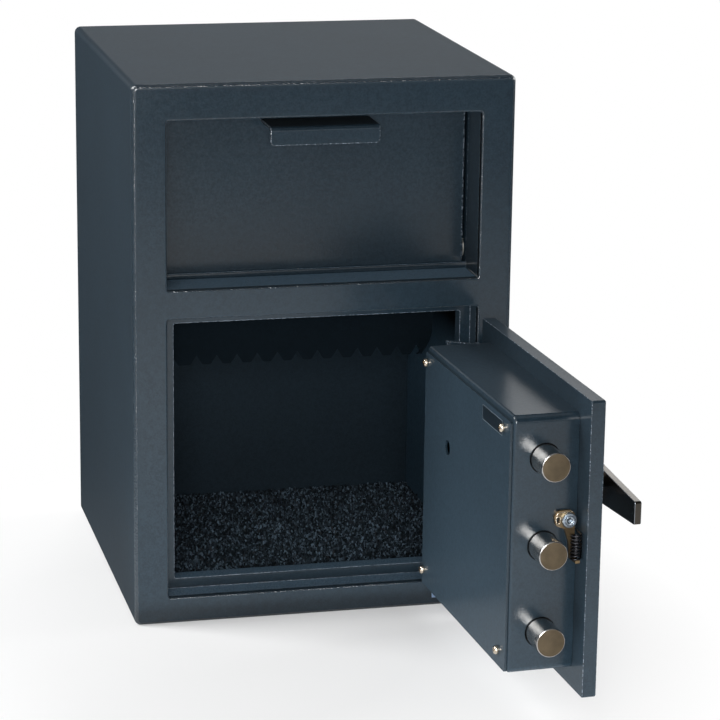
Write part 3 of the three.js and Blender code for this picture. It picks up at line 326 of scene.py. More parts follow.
def metal(name, colour, dark, roughness, scale, bump=0.00002, specks=0.0):
    """A bare or plated metal with cloudy tone, fine scratches and a little grime."""
    recipe = Recipe(name)
    cloud = recipe.noise(scale * 0.12, 3.0, 0.6)
    lines = recipe.noise(scale, 2.0, 0.6)
    share = recipe.steps(cloud * 0.5 + lines * 0.5, 0.3, 0.7)
    tone = recipe.blend(share, rgba(dark), rgba(colour))
    if specks:
        spots = recipe.steps(recipe.noise(scale * 0.6, 1.0, 0.5), 0.62, 0.7)
        tone = recipe.blend(spots * specks, tone, tinted(dark, 0.4))
    rough = roughness + (lines - 0.5) * 0.16 + (cloud - 0.5) * 0.1
    return recipe.finish(tone, rough, 1.0, recipe.bump(lines, bump, 0.6))


def steel():
    return metal("mill_steel", (0.42, 0.43, 0.45), (0.27, 0.27, 0.28), 0.38, 900.0, specks=0.4)


# Near-black olive chrome: the dark room that the handle reflects, put into its colour as painted reflection
def chrome():
    return metal("handle_chrome", (0.08, 0.072, 0.062), (0.066, 0.059, 0.05), 0.17, 420.0, 0.00001)


# Pale bluish chrome on the rounded edges: painted highlight and reflection
def chrome_edge():
    return metal("handle_chrome_edge", (0.3, 0.34, 0.4), (0.2, 0.2, 0.2), 0.1, 260.0, 0.00001)


def zinc():
    bright = bpy.context.scene.safe_finishes.zinc
    dark = tuple(part * 0.6 for part in bright)
    return metal("yellow_zinc", bright, dark, 0.34, 500.0, 0.00003, specks=0.35)


# Pale bright zinc: the plating of the cover screws, and a painted highlight on the edges and rims of the
# detent lever
def zinc_edge():
    return metal("yellow_zinc_edge", (0.85, 0.78, 0.66), (0.6, 0.5, 0.38), 0.2, 500.0)


def brass():
    return metal("brass", (0.6, 0.42, 0.16), (0.4, 0.27, 0.1), 0.3, 700.0, specks=0.3)


def cast_zinc():
    return metal("cast_zinc", (0.36, 0.37, 0.38), (0.24, 0.24, 0.25), 0.5, 450.0, 0.00008, specks=0.5)


def bolt_side():
    """Plated bolt: turning marks run round it."""
    recipe = Recipe("bolt_side")
    marks = recipe.rings("along", 2600.0)
    cloud = recipe.noise(45.0, 3.0, 0.6)
    tone = recipe.blend(recipe.steps(cloud, 0.3, 0.7), (0.5, 0.48, 0.45, 1.0), (0.72, 0.71, 0.69, 1.0))
    rough = 0.19 + (marks - 0.5) * 0.12 + (cloud - 0.5) * 0.08
    return recipe.finish(tone, rough, 1.0, recipe.bump(marks, 0.00002, 0.6))


def bolt_end():
    """Faced end of a bolt: rings about its centre under a brownish tarnish."""
    looks = bpy.context.scene.safe_finishes
    recipe = Recipe("bolt_end")
    rings = recipe.rings("radius", 2400.0)
    cloud = recipe.noise(70.0, 3.0, 0.6)
    share = recipe.steps(cloud * 0.7 + rings * 0.3, 0.35, 0.65)
    tone = recipe.blend(share, tinted(looks.bolt_tarnish, 0.72), tinted(looks.bolt_tarnish, 1.25))
    rough = 0.42 + (rings - 0.5) * 0.12
    return recipe.finish(tone, rough, 0.75, recipe.bump(rings, 0.00003, 0.7))


def bolt_bevel():
    return metal("bolt_bevel", (0.6, 0.6, 0.6), (0.4, 0.38, 0.36), 0.2, 400.0)


def white_zinc():
    """Bluish bright zinc of the detent screw."""
    return metal("white_zinc", (0.62, 0.68, 0.74), (0.34, 0.4, 0.46), 0.3, 420.0, 0.00004, specks=0.3)


def hole_rim():
    """Near-black ring round a hole: painted shadow of the gap round what passes through it."""
    return metal("hole_rim", (0.02, 0.022, 0.024), (0.008, 0.008, 0.009), 0.5, 900.0)


def black_steel():
    return metal("black_steel", (0.05, 0.05, 0.056), (0.012, 0.012, 0.014), 0.36, 900.0, 0.00004)


def moulded(name, colour, roughness, scale):
    """Moulded plastic or rubber with a fine skin."""
    recipe = Recipe(name)
    skin = recipe.noise(scale, 3.0, 0.6)
    cloud = recipe.noise(30.0, 2.0, 0.5)
    share = recipe.steps(cloud * 0.5 + skin * 0.5, 0.35, 0.65)
    tone = recipe.blend(share, tinted(colour, 0.8), tinted(colour, 1.2))
    return recipe.finish(tone, roughness + (skin - 0.5) * 0.15, 0.0, recipe.bump(skin, 0.00005, 0.5), 0.4)


def black_plastic():
    return moulded("black_plastic", (0.019, 0.019, 0.02), 0.32, 1500.0)


def rubber():
    return moulded("rubber", (0.02, 0.02, 0.021), 0.85, 2200.0)


def nylon():
    return moulded("nylon", (0.62, 0.61, 0.57), 0.5, 1800.0)


def pale_plate():
    return moulded("pale_plate", (0.33, 0.47, 0.7), 0.35, 1200.0)


def white_mark():
    return moulded("white_mark", (0.75, 0.75, 0.73), 0.6, 1500.0)


# Near-black for the socket and the cross recess of screws: painted shade in the hollows
def dark_slot():
    return moulded("dark_slot", (0.006, 0.006, 0.007), 0.7, 1500.0)


def blank_label():
    """A bare label, slightly glossier than the paint."""
    looks = bpy.context.scene.safe_finishes
    recipe = Recipe("blank_label")
    skin = recipe.noise(2500.0, 2.0, 0.5)
    cloud = recipe.noise(60.0, 2.0, 0.5)
    tone = recipe.blend(recipe.steps(cloud, 0.3, 0.7), tinted(looks.paint, 0.34), tinted(looks.paint, 0.5))
    return recipe.finish(tone, 0.32 + skin * 0.08, 0.0, recipe.bump(skin, 0.00002, 0.4), 0.4)


def label_border():
    return moulded("label_border", (0.07, 0.09, 0.11), 0.4, 1500.0)


def carpet_backing():
    return moulded("carpet_backing", (0.02, 0.026, 0.034), 0.95, 900.0)


def carpet_pile():
    """Cut pile whose yarns are dyed unevenly; shade is stored on each tuft."""
    looks = bpy.context.scene.safe_finishes
    recipe = Recipe("carpet_pile")
    shade = recipe.attribute("shade")
    patch = recipe.noise(420.0, 3.0, 0.6)
    stops = [
        (0.0, tinted(looks.carpet, 0.15)), (0.4, tinted(looks.carpet, 0.5)),
        (0.75, tinted(looks.carpet, 1.4)), (1.0, tinted(looks.carpet, 5.0)),
    ]
    mixed = recipe.steps(shade * 0.85 + patch * 0.3, 0.1, 1.0)
    tone = recipe.field("ShaderNodeValToRGB", {"stops": stops}, {"Fac": mixed}, "Color")
    fibre = recipe.noise(3000.0, 2.0, 0.6)
    return recipe.finish(tone, 0.9 + (fibre - 0.5) * 0.1, 0.0, recipe.bump(fibre, 0.0001, 0.5), 0.04)


def finish_of(maker):
    """The material that a maker function gives, made on first use."""
    if maker.__name__ not in finishes:
        finishes[maker.__name__] = maker()
    return finishes[maker.__name__]


# Mesh helpers


def placed(name, data):
    """An object at the origin that shows a mesh, a lamp, a camera or a text."""
    thing = bpy.data.objects.new(name, data)
    bpy.context.scene.collection.objects.link(thing)
    return thing


def new_piece(name, mesh, makers):
    """An object at the origin, with a material for each maker."""
    piece = placed(name, mesh)
    for maker in makers:
        mesh.materials.append(finish_of(maker))
    return piece


def mesh_of(name, shape):
    """The mesh of a finished shape, which is used up."""
    mesh = bpy.data.meshes.new(name)
    shape.to_mesh(mesh)
    shape.free()
    return mesh


def join_triangles(shape):
    """Joins loose triangles into flat faces."""
    bmesh.ops.remove_doubles(shape, verts=shape.verts, dist=1e-6)
    bmesh.ops.dissolve_limit(
        shape, angle_limit=math.radians(0.6), use_dissolve_boundaries=False,
        verts=shape.verts, edges=shape.edges,
    )


def merged_copy(name, *nodes):
    """A copy of CAD nodes as one mesh of flat faces."""
    shape = bmesh.new()
    for node in nodes:
        shape.from_mesh(frame["nodes"][node].data)
    join_triangles(shape)
    mesh = mesh_of(name, shape)
    mesh.materials.clear()
    for polygon in mesh.polygons:
        polygon.material_index = 0
    return mesh


def soften(piece, width, segments=3):
    """Rounds the sharp edges, which take the second finish where there is one."""
    mesh = piece.data
    for polygon in mesh.polygons:
        polygon.use_smooth = True
    bevel = piece.modifiers.new("Soft edges", "BEVEL")
    bevel.width = width * MM
    bevel.segments = segments
    bevel.limit_method = "ANGLE"
    bevel.angle_limit = SHARP
    bevel.material = min(1, len(mesh.materials) - 1)
    bevel.miter_outer = "MITER_ARC"
    normals = piece.modifiers.new("Flat faces", "WEIGHTED_NORMAL")
    normals.weight = 100
    normals.keep_sharp = True


def baked(piece):
    """The piece with its modifiers worked into one plain mesh."""
    graph = bpy.context.evaluated_depsgraph_get()
    mesh = bpy.data.meshes.new_from_object(piece.evaluated_get(graph))
    piece.modifiers.clear()
    piece.data = mesh
    return piece


def settle(piece, body, slot, *nodes):
    """Ties a finished piece to its body and hides the CAD nodes that it stands for; slot is not used."""
    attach(piece, body)
    if nodes:
        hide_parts(*nodes)
    return piece


def softened_node(node, body, slot, maker, width=0.6, edge_maker=None, segments=3):
    """A CAD node with rounded edges, in a finish of its own."""
    mesh = merged_copy(f"{node}_finished", node)
    piece = new_piece(mesh.name, mesh, [maker, edge_maker or maker])
    soften(piece, width, segments)
    return settle(piece, body, slot, node)


def lathe(name, profile, centre, axis, sides, makers, turn=None):
    """A closed round shape about an axis, from rows of radius, distance from centre and finish.

    Sizes are mm. A row gives the index of the finish up to the next row, or none for the first finish.
    Each point keeps its radius and its distance, in metres, as attributes.
    """
    first = Vector(axis).normalized()
    second = first.orthogonal().normalized()
    third = first.cross(second)
    middle = Vector(centre) * MM
    shape = bmesh.new()
    radius_layer = shape.verts.layers.float.new("radius")
    along_layer = shape.verts.layers.float.new("along")
    rings = []
    for radius, along, *_ in profile:
        ring = []
        for side in range(sides if radius > 0 else 1):
            angle = 2 * math.pi * side / sides
            out = second * math.cos(angle) + third * math.sin(angle)
            vertex = shape.verts.new(middle + first * along * MM + out * radius * MM)
            vertex[radius_layer] = radius * MM
            vertex[along_layer] = along * MM
            ring.append(vertex)
        rings.append(ring)
    for index in range(len(rings) - 1):
        low, high = rings[index], rings[index + 1]
        for side in range(sides):
            after = (side + 1) % sides
            corners = [
                low[side % len(low)], low[after % len(low)],
                high[after % len(high)], high[side % len(high)],
            ]
            unique = list(dict.fromkeys(corners))
            if len(unique) > 2:
                face = shape.faces.new(unique)
                face.material_index = profile[index][2] if len(profile[index]) > 2 else 0
                face.smooth = True
    bmesh.ops.recalc_face_normals(shape, faces=shape.faces)
    mesh = mesh_of(name, shape)
    if turn:
        mesh.transform(turn)
    mesh.set_sharp_from_angle(angle=SHARP)
    return new_piece(name, mesh, makers)


def block(name, low, high, makers, turn=None):
    """A box between two corners in mm."""
    shape = bmesh.new()
    bmesh.ops.create_cube(shape, size=1.0)
    size = (Vector(high) - Vector(low)) * MM
    middle = (Vector(high) + Vector(low)) / 2 * MM
    bmesh.ops.scale(shape, vec=size, verts=shape.verts)
    bmesh.ops.translate(shape, vec=middle, verts=shape.verts)
    mesh = mesh_of(name, shape)
    if turn:
        mesh.transform(turn)
    return new_piece(name, mesh, makers)


def tube(name, points, radius, sides, makers):
    """A round wire along points, closed at both ends, all in metres."""
    shape = bmesh.new()
    rings = []
    normal = None
    for index, point in enumerate(points):
        before = points[max(index - 1, 0)]
        after = points[min(index + 1, len(points) - 1)]
        tangent = (after - before).normalized()
        if normal is None:
            normal = tangent.orthogonal().normalized()
        normal = (normal - tangent * normal.dot(tangent)).normalized()
        across = tangent.cross(normal)
        ring = []
        for side in range(sides):
            angle = 2 * math.pi * side / sides
            offset = normal * math.cos(angle) + across * math.sin(angle)
            ring.append(shape.verts.new(point + offset * radius))
        rings.append(ring)
    for low, high in zip(rings, rings[1:]):
        for side in range(sides):
            after = (side + 1) % sides
            face = shape.faces.new([low[side], low[after], high[after], high[side]])
            face.smooth = True
    shape.faces.new(list(reversed(rings[0])))
    shape.faces.new(rings[-1])
    bmesh.ops.recalc_face_normals(shape, faces=shape.faces)
    return new_piece(name, mesh_of(name, shape), makers)


def combine(piece, operation, tool):
    """Joins the tool's shape to the piece, UNION, or takes it out, DIFFERENCE."""
    change = piece.modifiers.new("Combine", "BOOLEAN")
    change.operation = operation
    change.solver = "EXACT"
    change.object = tool
    baked(piece)
    bpy.data.objects.remove(tool)


# Geometry Nodes helpers


class Layout(Nodes):
    """A Geometry Nodes tree with named inputs, built node by node."""

    def __init__(self, name):
        self.tree = bpy.data.node_groups.new(name, "GeometryNodeTree")
        self.tree.interface.new_socket("Geometry", in_out="INPUT", socket_type="NodeSocketGeometry")
        self.tree.interface.new_socket("Geometry", in_out="OUTPUT", socket_type="NodeSocketGeometry")
        self.inputs = {}
        self.start = self.tree.nodes.new("NodeGroupInput")
        self.end = self.tree.nodes.new("NodeGroupOutput")

    def size(self, name, value, kind="NodeSocketFloat"):
        """A named input; its value is set on the modifier by the socket's identifier."""
        socket = self.tree.interface.new_socket(name, in_out="INPUT", socket_type=kind)
        self.inputs[socket.identifier] = value
        return self.start.outputs[name]

    def apply(self, piece, instances, maker):
        """Ends the tree in real, finished geometry and turns the piece into a plain mesh."""
        real = self.node("GeometryNodeRealizeInstances", None, {0: instances})
        values = {"Geometry": real.outputs[0], "Material": finish_of(maker)}
        dressed = self.node("GeometryNodeSetMaterial", None, values)
        self.tree.links.new(dressed.outputs[0], self.end.inputs[0])
        modifier = piece.modifiers.new(self.tree.name, "NODES")
        modifier.node_group = self.tree
        for identifier, value in self.inputs.items():
            modifier[identifier] = value
        return baked(piece)

    def copies(self, piece, points, pattern, rotation, scale, maker):
        """Ends the tree in copies of a pattern object on points; the pattern is used up."""
        source = self.node("GeometryNodeObjectInfo", None, {"Object": pattern})
        values = {
            "Points": points, "Instance": source.outputs["Geometry"],
            "Rotation": rotation, "Scale": scale,
        }
        instances = self.node("GeometryNodeInstanceOnPoints", None, values)
        self.apply(piece, instances.outputs[0], maker)
        bpy.data.objects.remove(pattern)
        return piece


def points_piece(name, points):
    """Loose points in metres, for a layout to put copies on."""
    mesh = bpy.data.meshes.new(name)
    mesh.from_pydata([tuple(point) for point in points], [], [])
    return placed(name, mesh)


def copies_on(name, points, pattern, maker):
    """Copies of a pattern object on points, as one mesh; the pattern is used up."""
    layout = Layout(f"{name}_layout")
    size = layout.size("Size", 1.0)
    turn = layout.size("Turn", (0.0, 0.0, 0.0), "NodeSocketRotation")
    return layout.copies(points_piece(name, points), layout.start.outputs[0], pattern, turn, size, maker)


def ring_of_copies(name, pattern, count, radius, maker, tenth=1.0, fifth=1.0):
    """Copies of a pattern object round a circle about z, as one mesh; each tenth and fifth may be longer."""
    layout = Layout(f"{name}_layout")
    number = layout.size("Count", count, "NodeSocketInt")
    distance = layout.size("Radius", radius)
    tenth_length = layout.size("Length of each tenth", tenth)
    fifth_length = layout.size("Length of each fifth", fifth)

    def maths(operation, first, second):
        return layout.node("ShaderNodeMath", {"operation": operation}, {0: first, 1: second}).outputs[0]

    circle = layout.node("GeometryNodeMeshCircle", None, {"Vertices": number, "Radius": distance})
    index = layout.node("GeometryNodeInputIndex").outputs[0]
    angle = maths("MULTIPLY", maths("DIVIDE", index, number), 2 * math.pi)
    turn = layout.node("ShaderNodeCombineXYZ", None, {"X": 0.0, "Y": 0.0, "Z": angle})
    rotation = layout.node("FunctionNodeEulerToRotation", None, {0: turn.outputs[0]}).outputs[0]
    is_tenth = maths("LESS_THAN", maths("MODULO", index, 10.0), 0.5)
    is_fifth = maths("LESS_THAN", maths("MODULO", index, 5.0), 0.5)
    longer = maths("MULTIPLY", is_fifth, maths("SUBTRACT", fifth_length, 1.0))
    longest = maths("MULTIPLY", is_tenth, maths("SUBTRACT", tenth_length, fifth_length))
    length = maths("ADD", maths("ADD", longer, longest), 1.0)
    scale = layout.node("ShaderNodeCombineXYZ", None, {"X": length, "Y": 1.0, "Z": length}).outputs[0]
    carrier = points_piece(name, [(0, 0, 0)])
    return layout.copies(carrier, circle.outputs[0], pattern, rotation, scale, maker)


# Sizes and colours that a user would change


class SafeSizes(bpy.types.PropertyGroup):
    """Sizes of the finished pieces"""

    edge: bpy.props.FloatProperty(
        name="Plate edge", description="Rounding of the edges of thick plate in mm",
        default=1.3, min=0.1, max=2.0)
    sheet_edge: bpy.props.FloatProperty(
        name="Sheet edge", description="Rounding of the edges of thin sheet in mm",
        default=0.5, min=0.1, max=1.0)
    bolt_radius: bpy.props.FloatProperty(
        name="Bolt radius", description="Radius of the door bolts in mm", default=12.7, min=5.0, max=12.7)
    tuft_spacing: bpy.props.FloatProperty(
        name="Tuft spacing", description="Distance between the tufts of the carpet in mm",
        default=2.25, min=2.2, max=8.0)
    tuft_height: bpy.props.FloatProperty(
        name="Tuft height", description="Height of the tufts of the carpet in mm",
        default=3.4, min=1.0, max=6.0)


class SafeFinishes(bpy.types.PropertyGroup):
    """Colours and gloss of the finishes"""

    paint: bpy.props.FloatVectorProperty(
        name="Paint", description="Colour of the slate enamel", subtype="COLOR",
        default=(0.0128, 0.0242, 0.035), min=0.0, max=1.0)
    # Colour of the paler specks on edges: partly worn enamel, partly painted glints
    paint_worn: bpy.props.FloatVectorProperty(
        name="Paint on edges", description="Colour where the enamel runs thin", subtype="COLOR",
        default=(0.2, 0.245, 0.3), min=0.0, max=1.0)
    paint_grain: bpy.props.FloatProperty(
        name="Paint grain", description="Bumps of the enamel per metre", default=620.0, min=100.0, max=3000.0)
    paint_roughness: bpy.props.FloatProperty(
        name="Paint roughness", description="Roughness of the enamel",
        subtype="FACTOR", default=0.175, min=0.0, max=1.0)
    paint_specular: bpy.props.FloatProperty(
        name="Paint gloss", description="Specular level of the enamel",
        subtype="FACTOR", default=0.5, min=0.0, max=1.0)
    paint_dulling: bpy.props.FloatProperty(
        name="Paint dulling", description="Share of the gloss lost at a glancing angle",
        subtype="FACTOR", default=0.98, min=0.0, max=1.0)
    bolt_tarnish: bpy.props.FloatVectorProperty(
        name="Bolt ends", description="Colour of the faced ends of the bolts", subtype="COLOR",
        default=(0.088, 0.067, 0.041), min=0.0, max=1.0)
    zinc: bpy.props.FloatVectorProperty(
        name="Yellow zinc", description="Colour of the zinc-plated lever", subtype="COLOR",
        default=(0.27, 0.195, 0.11), min=0.0, max=1.0)
    carpet: bpy.props.FloatVectorProperty(
        name="Carpet", description="Colour of the carpet pile", subtype="COLOR",
        default=(0.026, 0.038, 0.05), min=0.0, max=1.0)


class SafeStage(bpy.types.PropertyGroup):
    """Camera, lamps and room"""

    lens: bpy.props.FloatProperty(
        name="Lens", description="Focal length of the camera in mm", unit="CAMERA",
        default=143.89, min=20.0, max=400.0)
    camera_place: bpy.props.FloatVectorProperty(
        name="Camera", description="Place of the camera", subtype="TRANSLATION", unit="LENGTH",
        default=(-0.57317, -2.67424, 0.93584))
    camera_turn: bpy.props.FloatVectorProperty(
        name="Camera angles", description="Tilt, turn and roll of the camera",
        subtype="EULER", unit="ROTATION",
        default=(0.26965, -0.23024, -0.05002))
    key_power: bpy.props.FloatProperty(
        name="Key light", description="Power of the soft light above on the left",
        unit="POWER", default=16.0, min=0.0)
    camera_power: bpy.props.FloatProperty(
        name="Camera light", description="Power of the soft light low by the camera",
        unit="POWER", default=20.0, min=0.0)
    left_power: bpy.props.FloatProperty(
        name="Left light", description="Power of the soft light on the left",
        unit="POWER", default=60.0, min=0.0)
    right_power: bpy.props.FloatProperty(
        name="Right light", description="Power of the soft light on the right",
        unit="POWER", default=46.0, min=0.0)
    back_power: bpy.props.FloatProperty(
        name="Back light", description="Power of the soft light behind",
        unit="POWER", default=14.0, min=0.0)
    rear_power: bpy.props.FloatProperty(
        name="Rear light", description="Power of the low light on the back",
        unit="POWER", default=26.0, min=0.0)
    sheen_power: bpy.props.FloatProperty(
        name="Sheen card", description="Power of the card that only gloss and metal show",
        unit="POWER", default=52.0, min=0.0)
    card_power: bpy.props.FloatProperty(
        name="Floor card", description="Power of the light that the pale floor in front throws up",
        unit="POWER", default=5.0, min=0.0)
    ambient: bpy.props.FloatProperty(
        name="Ambient", description="Strength of the light from all round", default=0.1, min=0.0)
    room: bpy.props.FloatVectorProperty(
        name="Room", description="Colour of the dim room that gloss and metal reflect", subtype="COLOR",
        default=(0.022, 0.02, 0.019), min=0.0, max=1.0)
    floor_lift: bpy.props.FloatProperty(
        name="Floor lift", description="How far the floor by the object is lifted to white",
        subtype="FACTOR", default=0.3, min=0.0, max=1.0)


# Pieces that the frame alone doesn't give


def make_body_skin(edge):
    """Wrap and front face welded into one skin, with finishes of its own inside the compartment."""
    makers = [paint, paint_edge, inner_paint, paint_round, side_paint]
    skin = new_piece("body_skin", merged_copy("body_skin", "front_frame"), makers)
    combine(skin, "UNION", new_piece("wrap", merged_copy("wrap", "body_shell"), [paint]))
    shape = bmesh.new()
    shape.from_mesh(skin.data)
    join_triangles(shape)
    low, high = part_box("body_shell")
    wall = 5.0 * MM
    for face in shape.faces:
        middle = face.calc_center_median()
        within = low.x + wall < middle.x < high.x - wall and wall < middle.z < high.z - wall
        maker = paint
        # The hinge-side wall inside takes paler enamel as painted light, which darkens near the top as
        # painted shade
        if within and face.normal.x < -0.9:
            maker = side_paint
        elif within and middle.y > low.y - 1.0 * MM:
            maker = inner_paint
        elif 0.1 < abs(face.normal.y) < 0.98 and middle.y < low.y + 2.0 * MM:
            maker = paint_round
        face.material_index = makers.index(maker)
    shape.to_mesh(skin.data)
    shape.free()
    soften(skin, edge)
    settle(skin, "body", "paint", "body_shell", "front_frame")


def make_opening(node, edge):
    """A lining of an opening; the upward faces of its sills take paler enamel as painted light."""
    makers = [paint, sill_edge, sill_paint]
    mesh = merged_copy(f"{node}_finished", node)
    lining = new_piece(mesh.name, mesh, makers)
    # Faces that look up take the paler enamel: painted light from above
    for face in mesh.polygons:
        face.material_index = makers.index(sill_paint if face.normal.z > 0.9 else paint)
    soften(lining, edge)
    settle(lining, "body", "paint", node)


def make_blank_plate():
    """Bare plate low on the right of the front face."""
    left, right, foot, top = 107.0, 147.0, 8.2, 21.2
    plate = block("blank_plate", (left, FRONT_FACE - 0.6, foot), (right, FRONT_FACE + 0.1, top), [pale_plate])
    soften(plate, 0.2, 2)
    settle(plate, "body", "paint")


def make_backing(tuft_height):
    """Backing of the carpet, up to a little above the foot of the tufts; gives the height of its top."""
    low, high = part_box("carpet_mat")
    top = high.z - tuft_height * 0.8
    backing = block("carpet_backing", low / MM, Vector((high.x, high.y, top)) / MM, [carpet_backing])
    soften(backing, 0.6, 2)
    settle(backing, "body", "carpet", "carpet_mat")
    return top


def make_pile(top, tuft_height, spacing):
    """Cut pile: three-sided tufts that lean at random, set in a sheet at the height of the backing."""
    low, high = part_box("carpet_mat")
    inset = 1.5 * MM
    sheet = bmesh.new()
    corners = [(low.x, low.y), (high.x, low.y), (high.x, high.y), (low.x, high.y)]
    signs = [(1, 1), (-1, 1), (-1, -1), (1, -1)]
    places = [(x + sx * inset, y + sy * inset, top) for (x, y), (sx, sy) in zip(corners, signs)]
    sheet.faces.new([sheet.verts.new(place) for place in places])
    pile = placed("carpet_pile", mesh_of("carpet_pile", sheet))

    layout = Layout("tufts")
    density = layout.size("Density", 1.0 / spacing**2)
    height = layout.size("Height", tuft_height)
    foot = layout.size("Foot radius", spacing * 0.7)
    tip = layout.size("Tip radius", spacing * 0.42)
    seed = layout.size("Seed", 7, "NodeSocketInt")
    spread = layout.node("GeometryNodeDistributePointsOnFaces", {"distribute_method": "RANDOM"}, {
        "Mesh": layout.start.outputs[0], "Density": density, "Seed": seed})
    cone = layout.node("GeometryNodeMeshCone", {"fill_type": "NGON"}, {
        "Vertices": 3, "Side Segments": 1, "Radius Top": tip, "Radius Bottom": foot, "Depth": height})
    most, whole_turn = 0.45, 6.28
    lean = layout.node("FunctionNodeRandomValue", {"data_type": "FLOAT_VECTOR"}, {
        0: (-most, -most, 0.0), 1: (most, most, whole_turn), "Seed": 3})
    scale = layout.node("FunctionNodeRandomValue", {"data_type": "FLOAT"}, {2: 0.6, 3: 1.05, "Seed": 5})
    shade = layout.node("FunctionNodeRandomValue", {"data_type": "FLOAT"}, {2: 0.0, 3: 1.0, "Seed": 11})
    turn = layout.node("FunctionNodeEulerToRotation", None, {0: lean.outputs[0]})
    tufts = layout.node("GeometryNodeInstanceOnPoints", None, {
        "Points": spread.outputs["Points"], "Instance": cone.outputs["Mesh"],
        "Rotation": turn.outputs[0], "Scale": scale.outputs[1]})
    settings = {"data_type": "FLOAT", "domain": "INSTANCE"}
    stored = layout.node("GeometryNodeStoreNamedAttribute", settings, {
        "Geometry": tufts.outputs[0], "Name": "shade", "Value": shade.outputs[1]})
    layout.apply(pile, stored.outputs[0], carpet_pile)
    for polygon in pile.data.polygons:
        polygon.use_smooth = False
    settle(pile, "body", "carpet")


def make_label():
    """Bare label with a paler border, on the cover of the housing."""
    left, right, foot, top = -92.3, -41.3, 250.3, 262.3
    margin = 0.7
    low = (left - margin, COVER_FACE, foot - margin)
    high = (right + margin, COVER_FACE + 0.12, top + margin)
    settle(block("label_border", low, high, [label_border], DOOR), "door", "paint")
    low, high = (left, COVER_FACE + 0.1, foot), (right, COVER_FACE + 0.2, top)
    settle(block("label_blank", low, high, [blank_label], DOOR), "door", "paint")


def make_bolt(number, radius):
    """A bolt, bevelled at one end and with a threaded hole in the other, and a dark ring round its hole as
    painted shadow.
    """
    low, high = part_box(f"bolt_{number}")
    middle = DOOR.inverted() @ ((low + high) / 2)
    x, y, z = middle.x / MM, middle.y / MM, middle.z / MM
    length = 62.0
    thread, thread_depth = 4.3, 13.0
    makers = [bolt_end, bolt_bevel, bolt_side]
    end, bevel, side = range(3)
    profile = [
        (0.0, 0.12, end), (radius * 0.12, 0.05, end), (radius - 0.7, 0.0, bevel),
        (radius - 0.5, 0.05, bevel), (radius - 0.15, 0.32, bevel), (radius - 0.03, 0.55, bevel),
        (radius, 0.8, side), (radius, length - 1.0, side), (radius - 0.8, length, side),
        (thread, length, side), (thread, length - thread_depth, side), (0.0, length - thread_depth, side),
    ]
    bolt = lathe(f"bolt_{number}_plated", profile, (x - length / 2, y, z), (1, 0, 0), 96, makers, DOOR)
    settle(bolt, "bolts", "bolt_chrome", f"bolt_{number}")
    # A thin near-black ring on the housing round the bolt: painted shadow of the gap
    bore = radius + 0.45
    profile = [(bore, 0.0), (radius + 1.0, 0.0), (radius + 0.95, 0.2), (bore, 0.1), (bore, 0.0)]
    place = (HOUSING_SIDE - 0.05, y, z)
    rim = lathe(f"bolt_hole_rim_{number}", profile, place, (-1, 0, 0), 64, [hole_rim], DOOR)
    settle(rim, "door", "steel")


def make_dial_disc():
    profile = [
        (0.0, 0.0), (DIAL_RIM - 0.5, 0.0), (DIAL_RIM, 0.5), (DIAL_RIM, CONE_FOOT - 0.4),
        (DIAL_RIM - 0.25, CONE_FOOT + 0.1), (CONE_TOP + 0.5, DIAL_FACE - 0.25),
        (CONE_TOP - 0.3, DIAL_FACE), (0.0, DIAL_FACE),
    ]
    disc = lathe("dial_disc", profile, DIAL_PLACE, (0, -1, 0), 128, [black_plastic], DOOR)
    settle(disc, "dial", "black_plastic", "dial")


def make_dial_knob():
    """Knob on the dial, with ribs round it."""
    profile = [
        (0.0, DIAL_FACE - 0.5), (18.0, DIAL_FACE - 0.5), (18.0, DIAL_FACE + 0.6), (16.9, DIAL_FACE + 1.4),
        (16.9, DIAL_FACE + 17.6), (16.2, DIAL_FACE + 18.6), (15.0, DIAL_FACE + 19.0),
        (12.6, DIAL_FACE + 19.0), (12.0, DIAL_FACE + 18.4), (0.0, DIAL_FACE + 18.4),
    ]
    knob = lathe("dial_knob", profile, DIAL_PLACE, (0, -1, 0), 96, [black_plastic], DOOR)
    settle(knob, "dial", "black_plastic")
    profile = [(0.0, 0.0), (0.9, 0.0), (1.15, 0.5), (1.15, 15.6), (0.9, 16.4), (0.0, 16.6)]
    rib = lathe("rib", profile, (0, 0, DIAL_FACE + 1.4), (0, 0, 1), 12, [black_plastic])
    ribs = ring_of_copies("dial_ribs", rib, 24, 16.8 * MM, black_plastic)
    ribs.data.transform(ON_DIAL)
    settle(ribs, "dial", "black_plastic")


def make_dial_marks():
    """A hundred marks laid on the cone, longer at each fifth and tenth, with zero at the top."""
    tilt = Matrix.Rotation(SLOPE, 4, "Y")
    mark = block("mark", (-1.9, -0.2, -0.1), (-0.3, 0.2, 0.08), [white_mark], tilt)
    marks = ring_of_copies("dial_marks", mark, 100, (DIAL_RIM - 0.05) * MM, white_mark, 1.9, 1.45)
    on_cone = Matrix.Translation(Vector((0, 0, CONE_FOOT)) * MM)
    marks.data.transform(ON_DIAL @ on_cone @ Matrix.Rotation(math.pi / 2, 4, "Z"))
    settle(marks, "dial", "black_plastic")


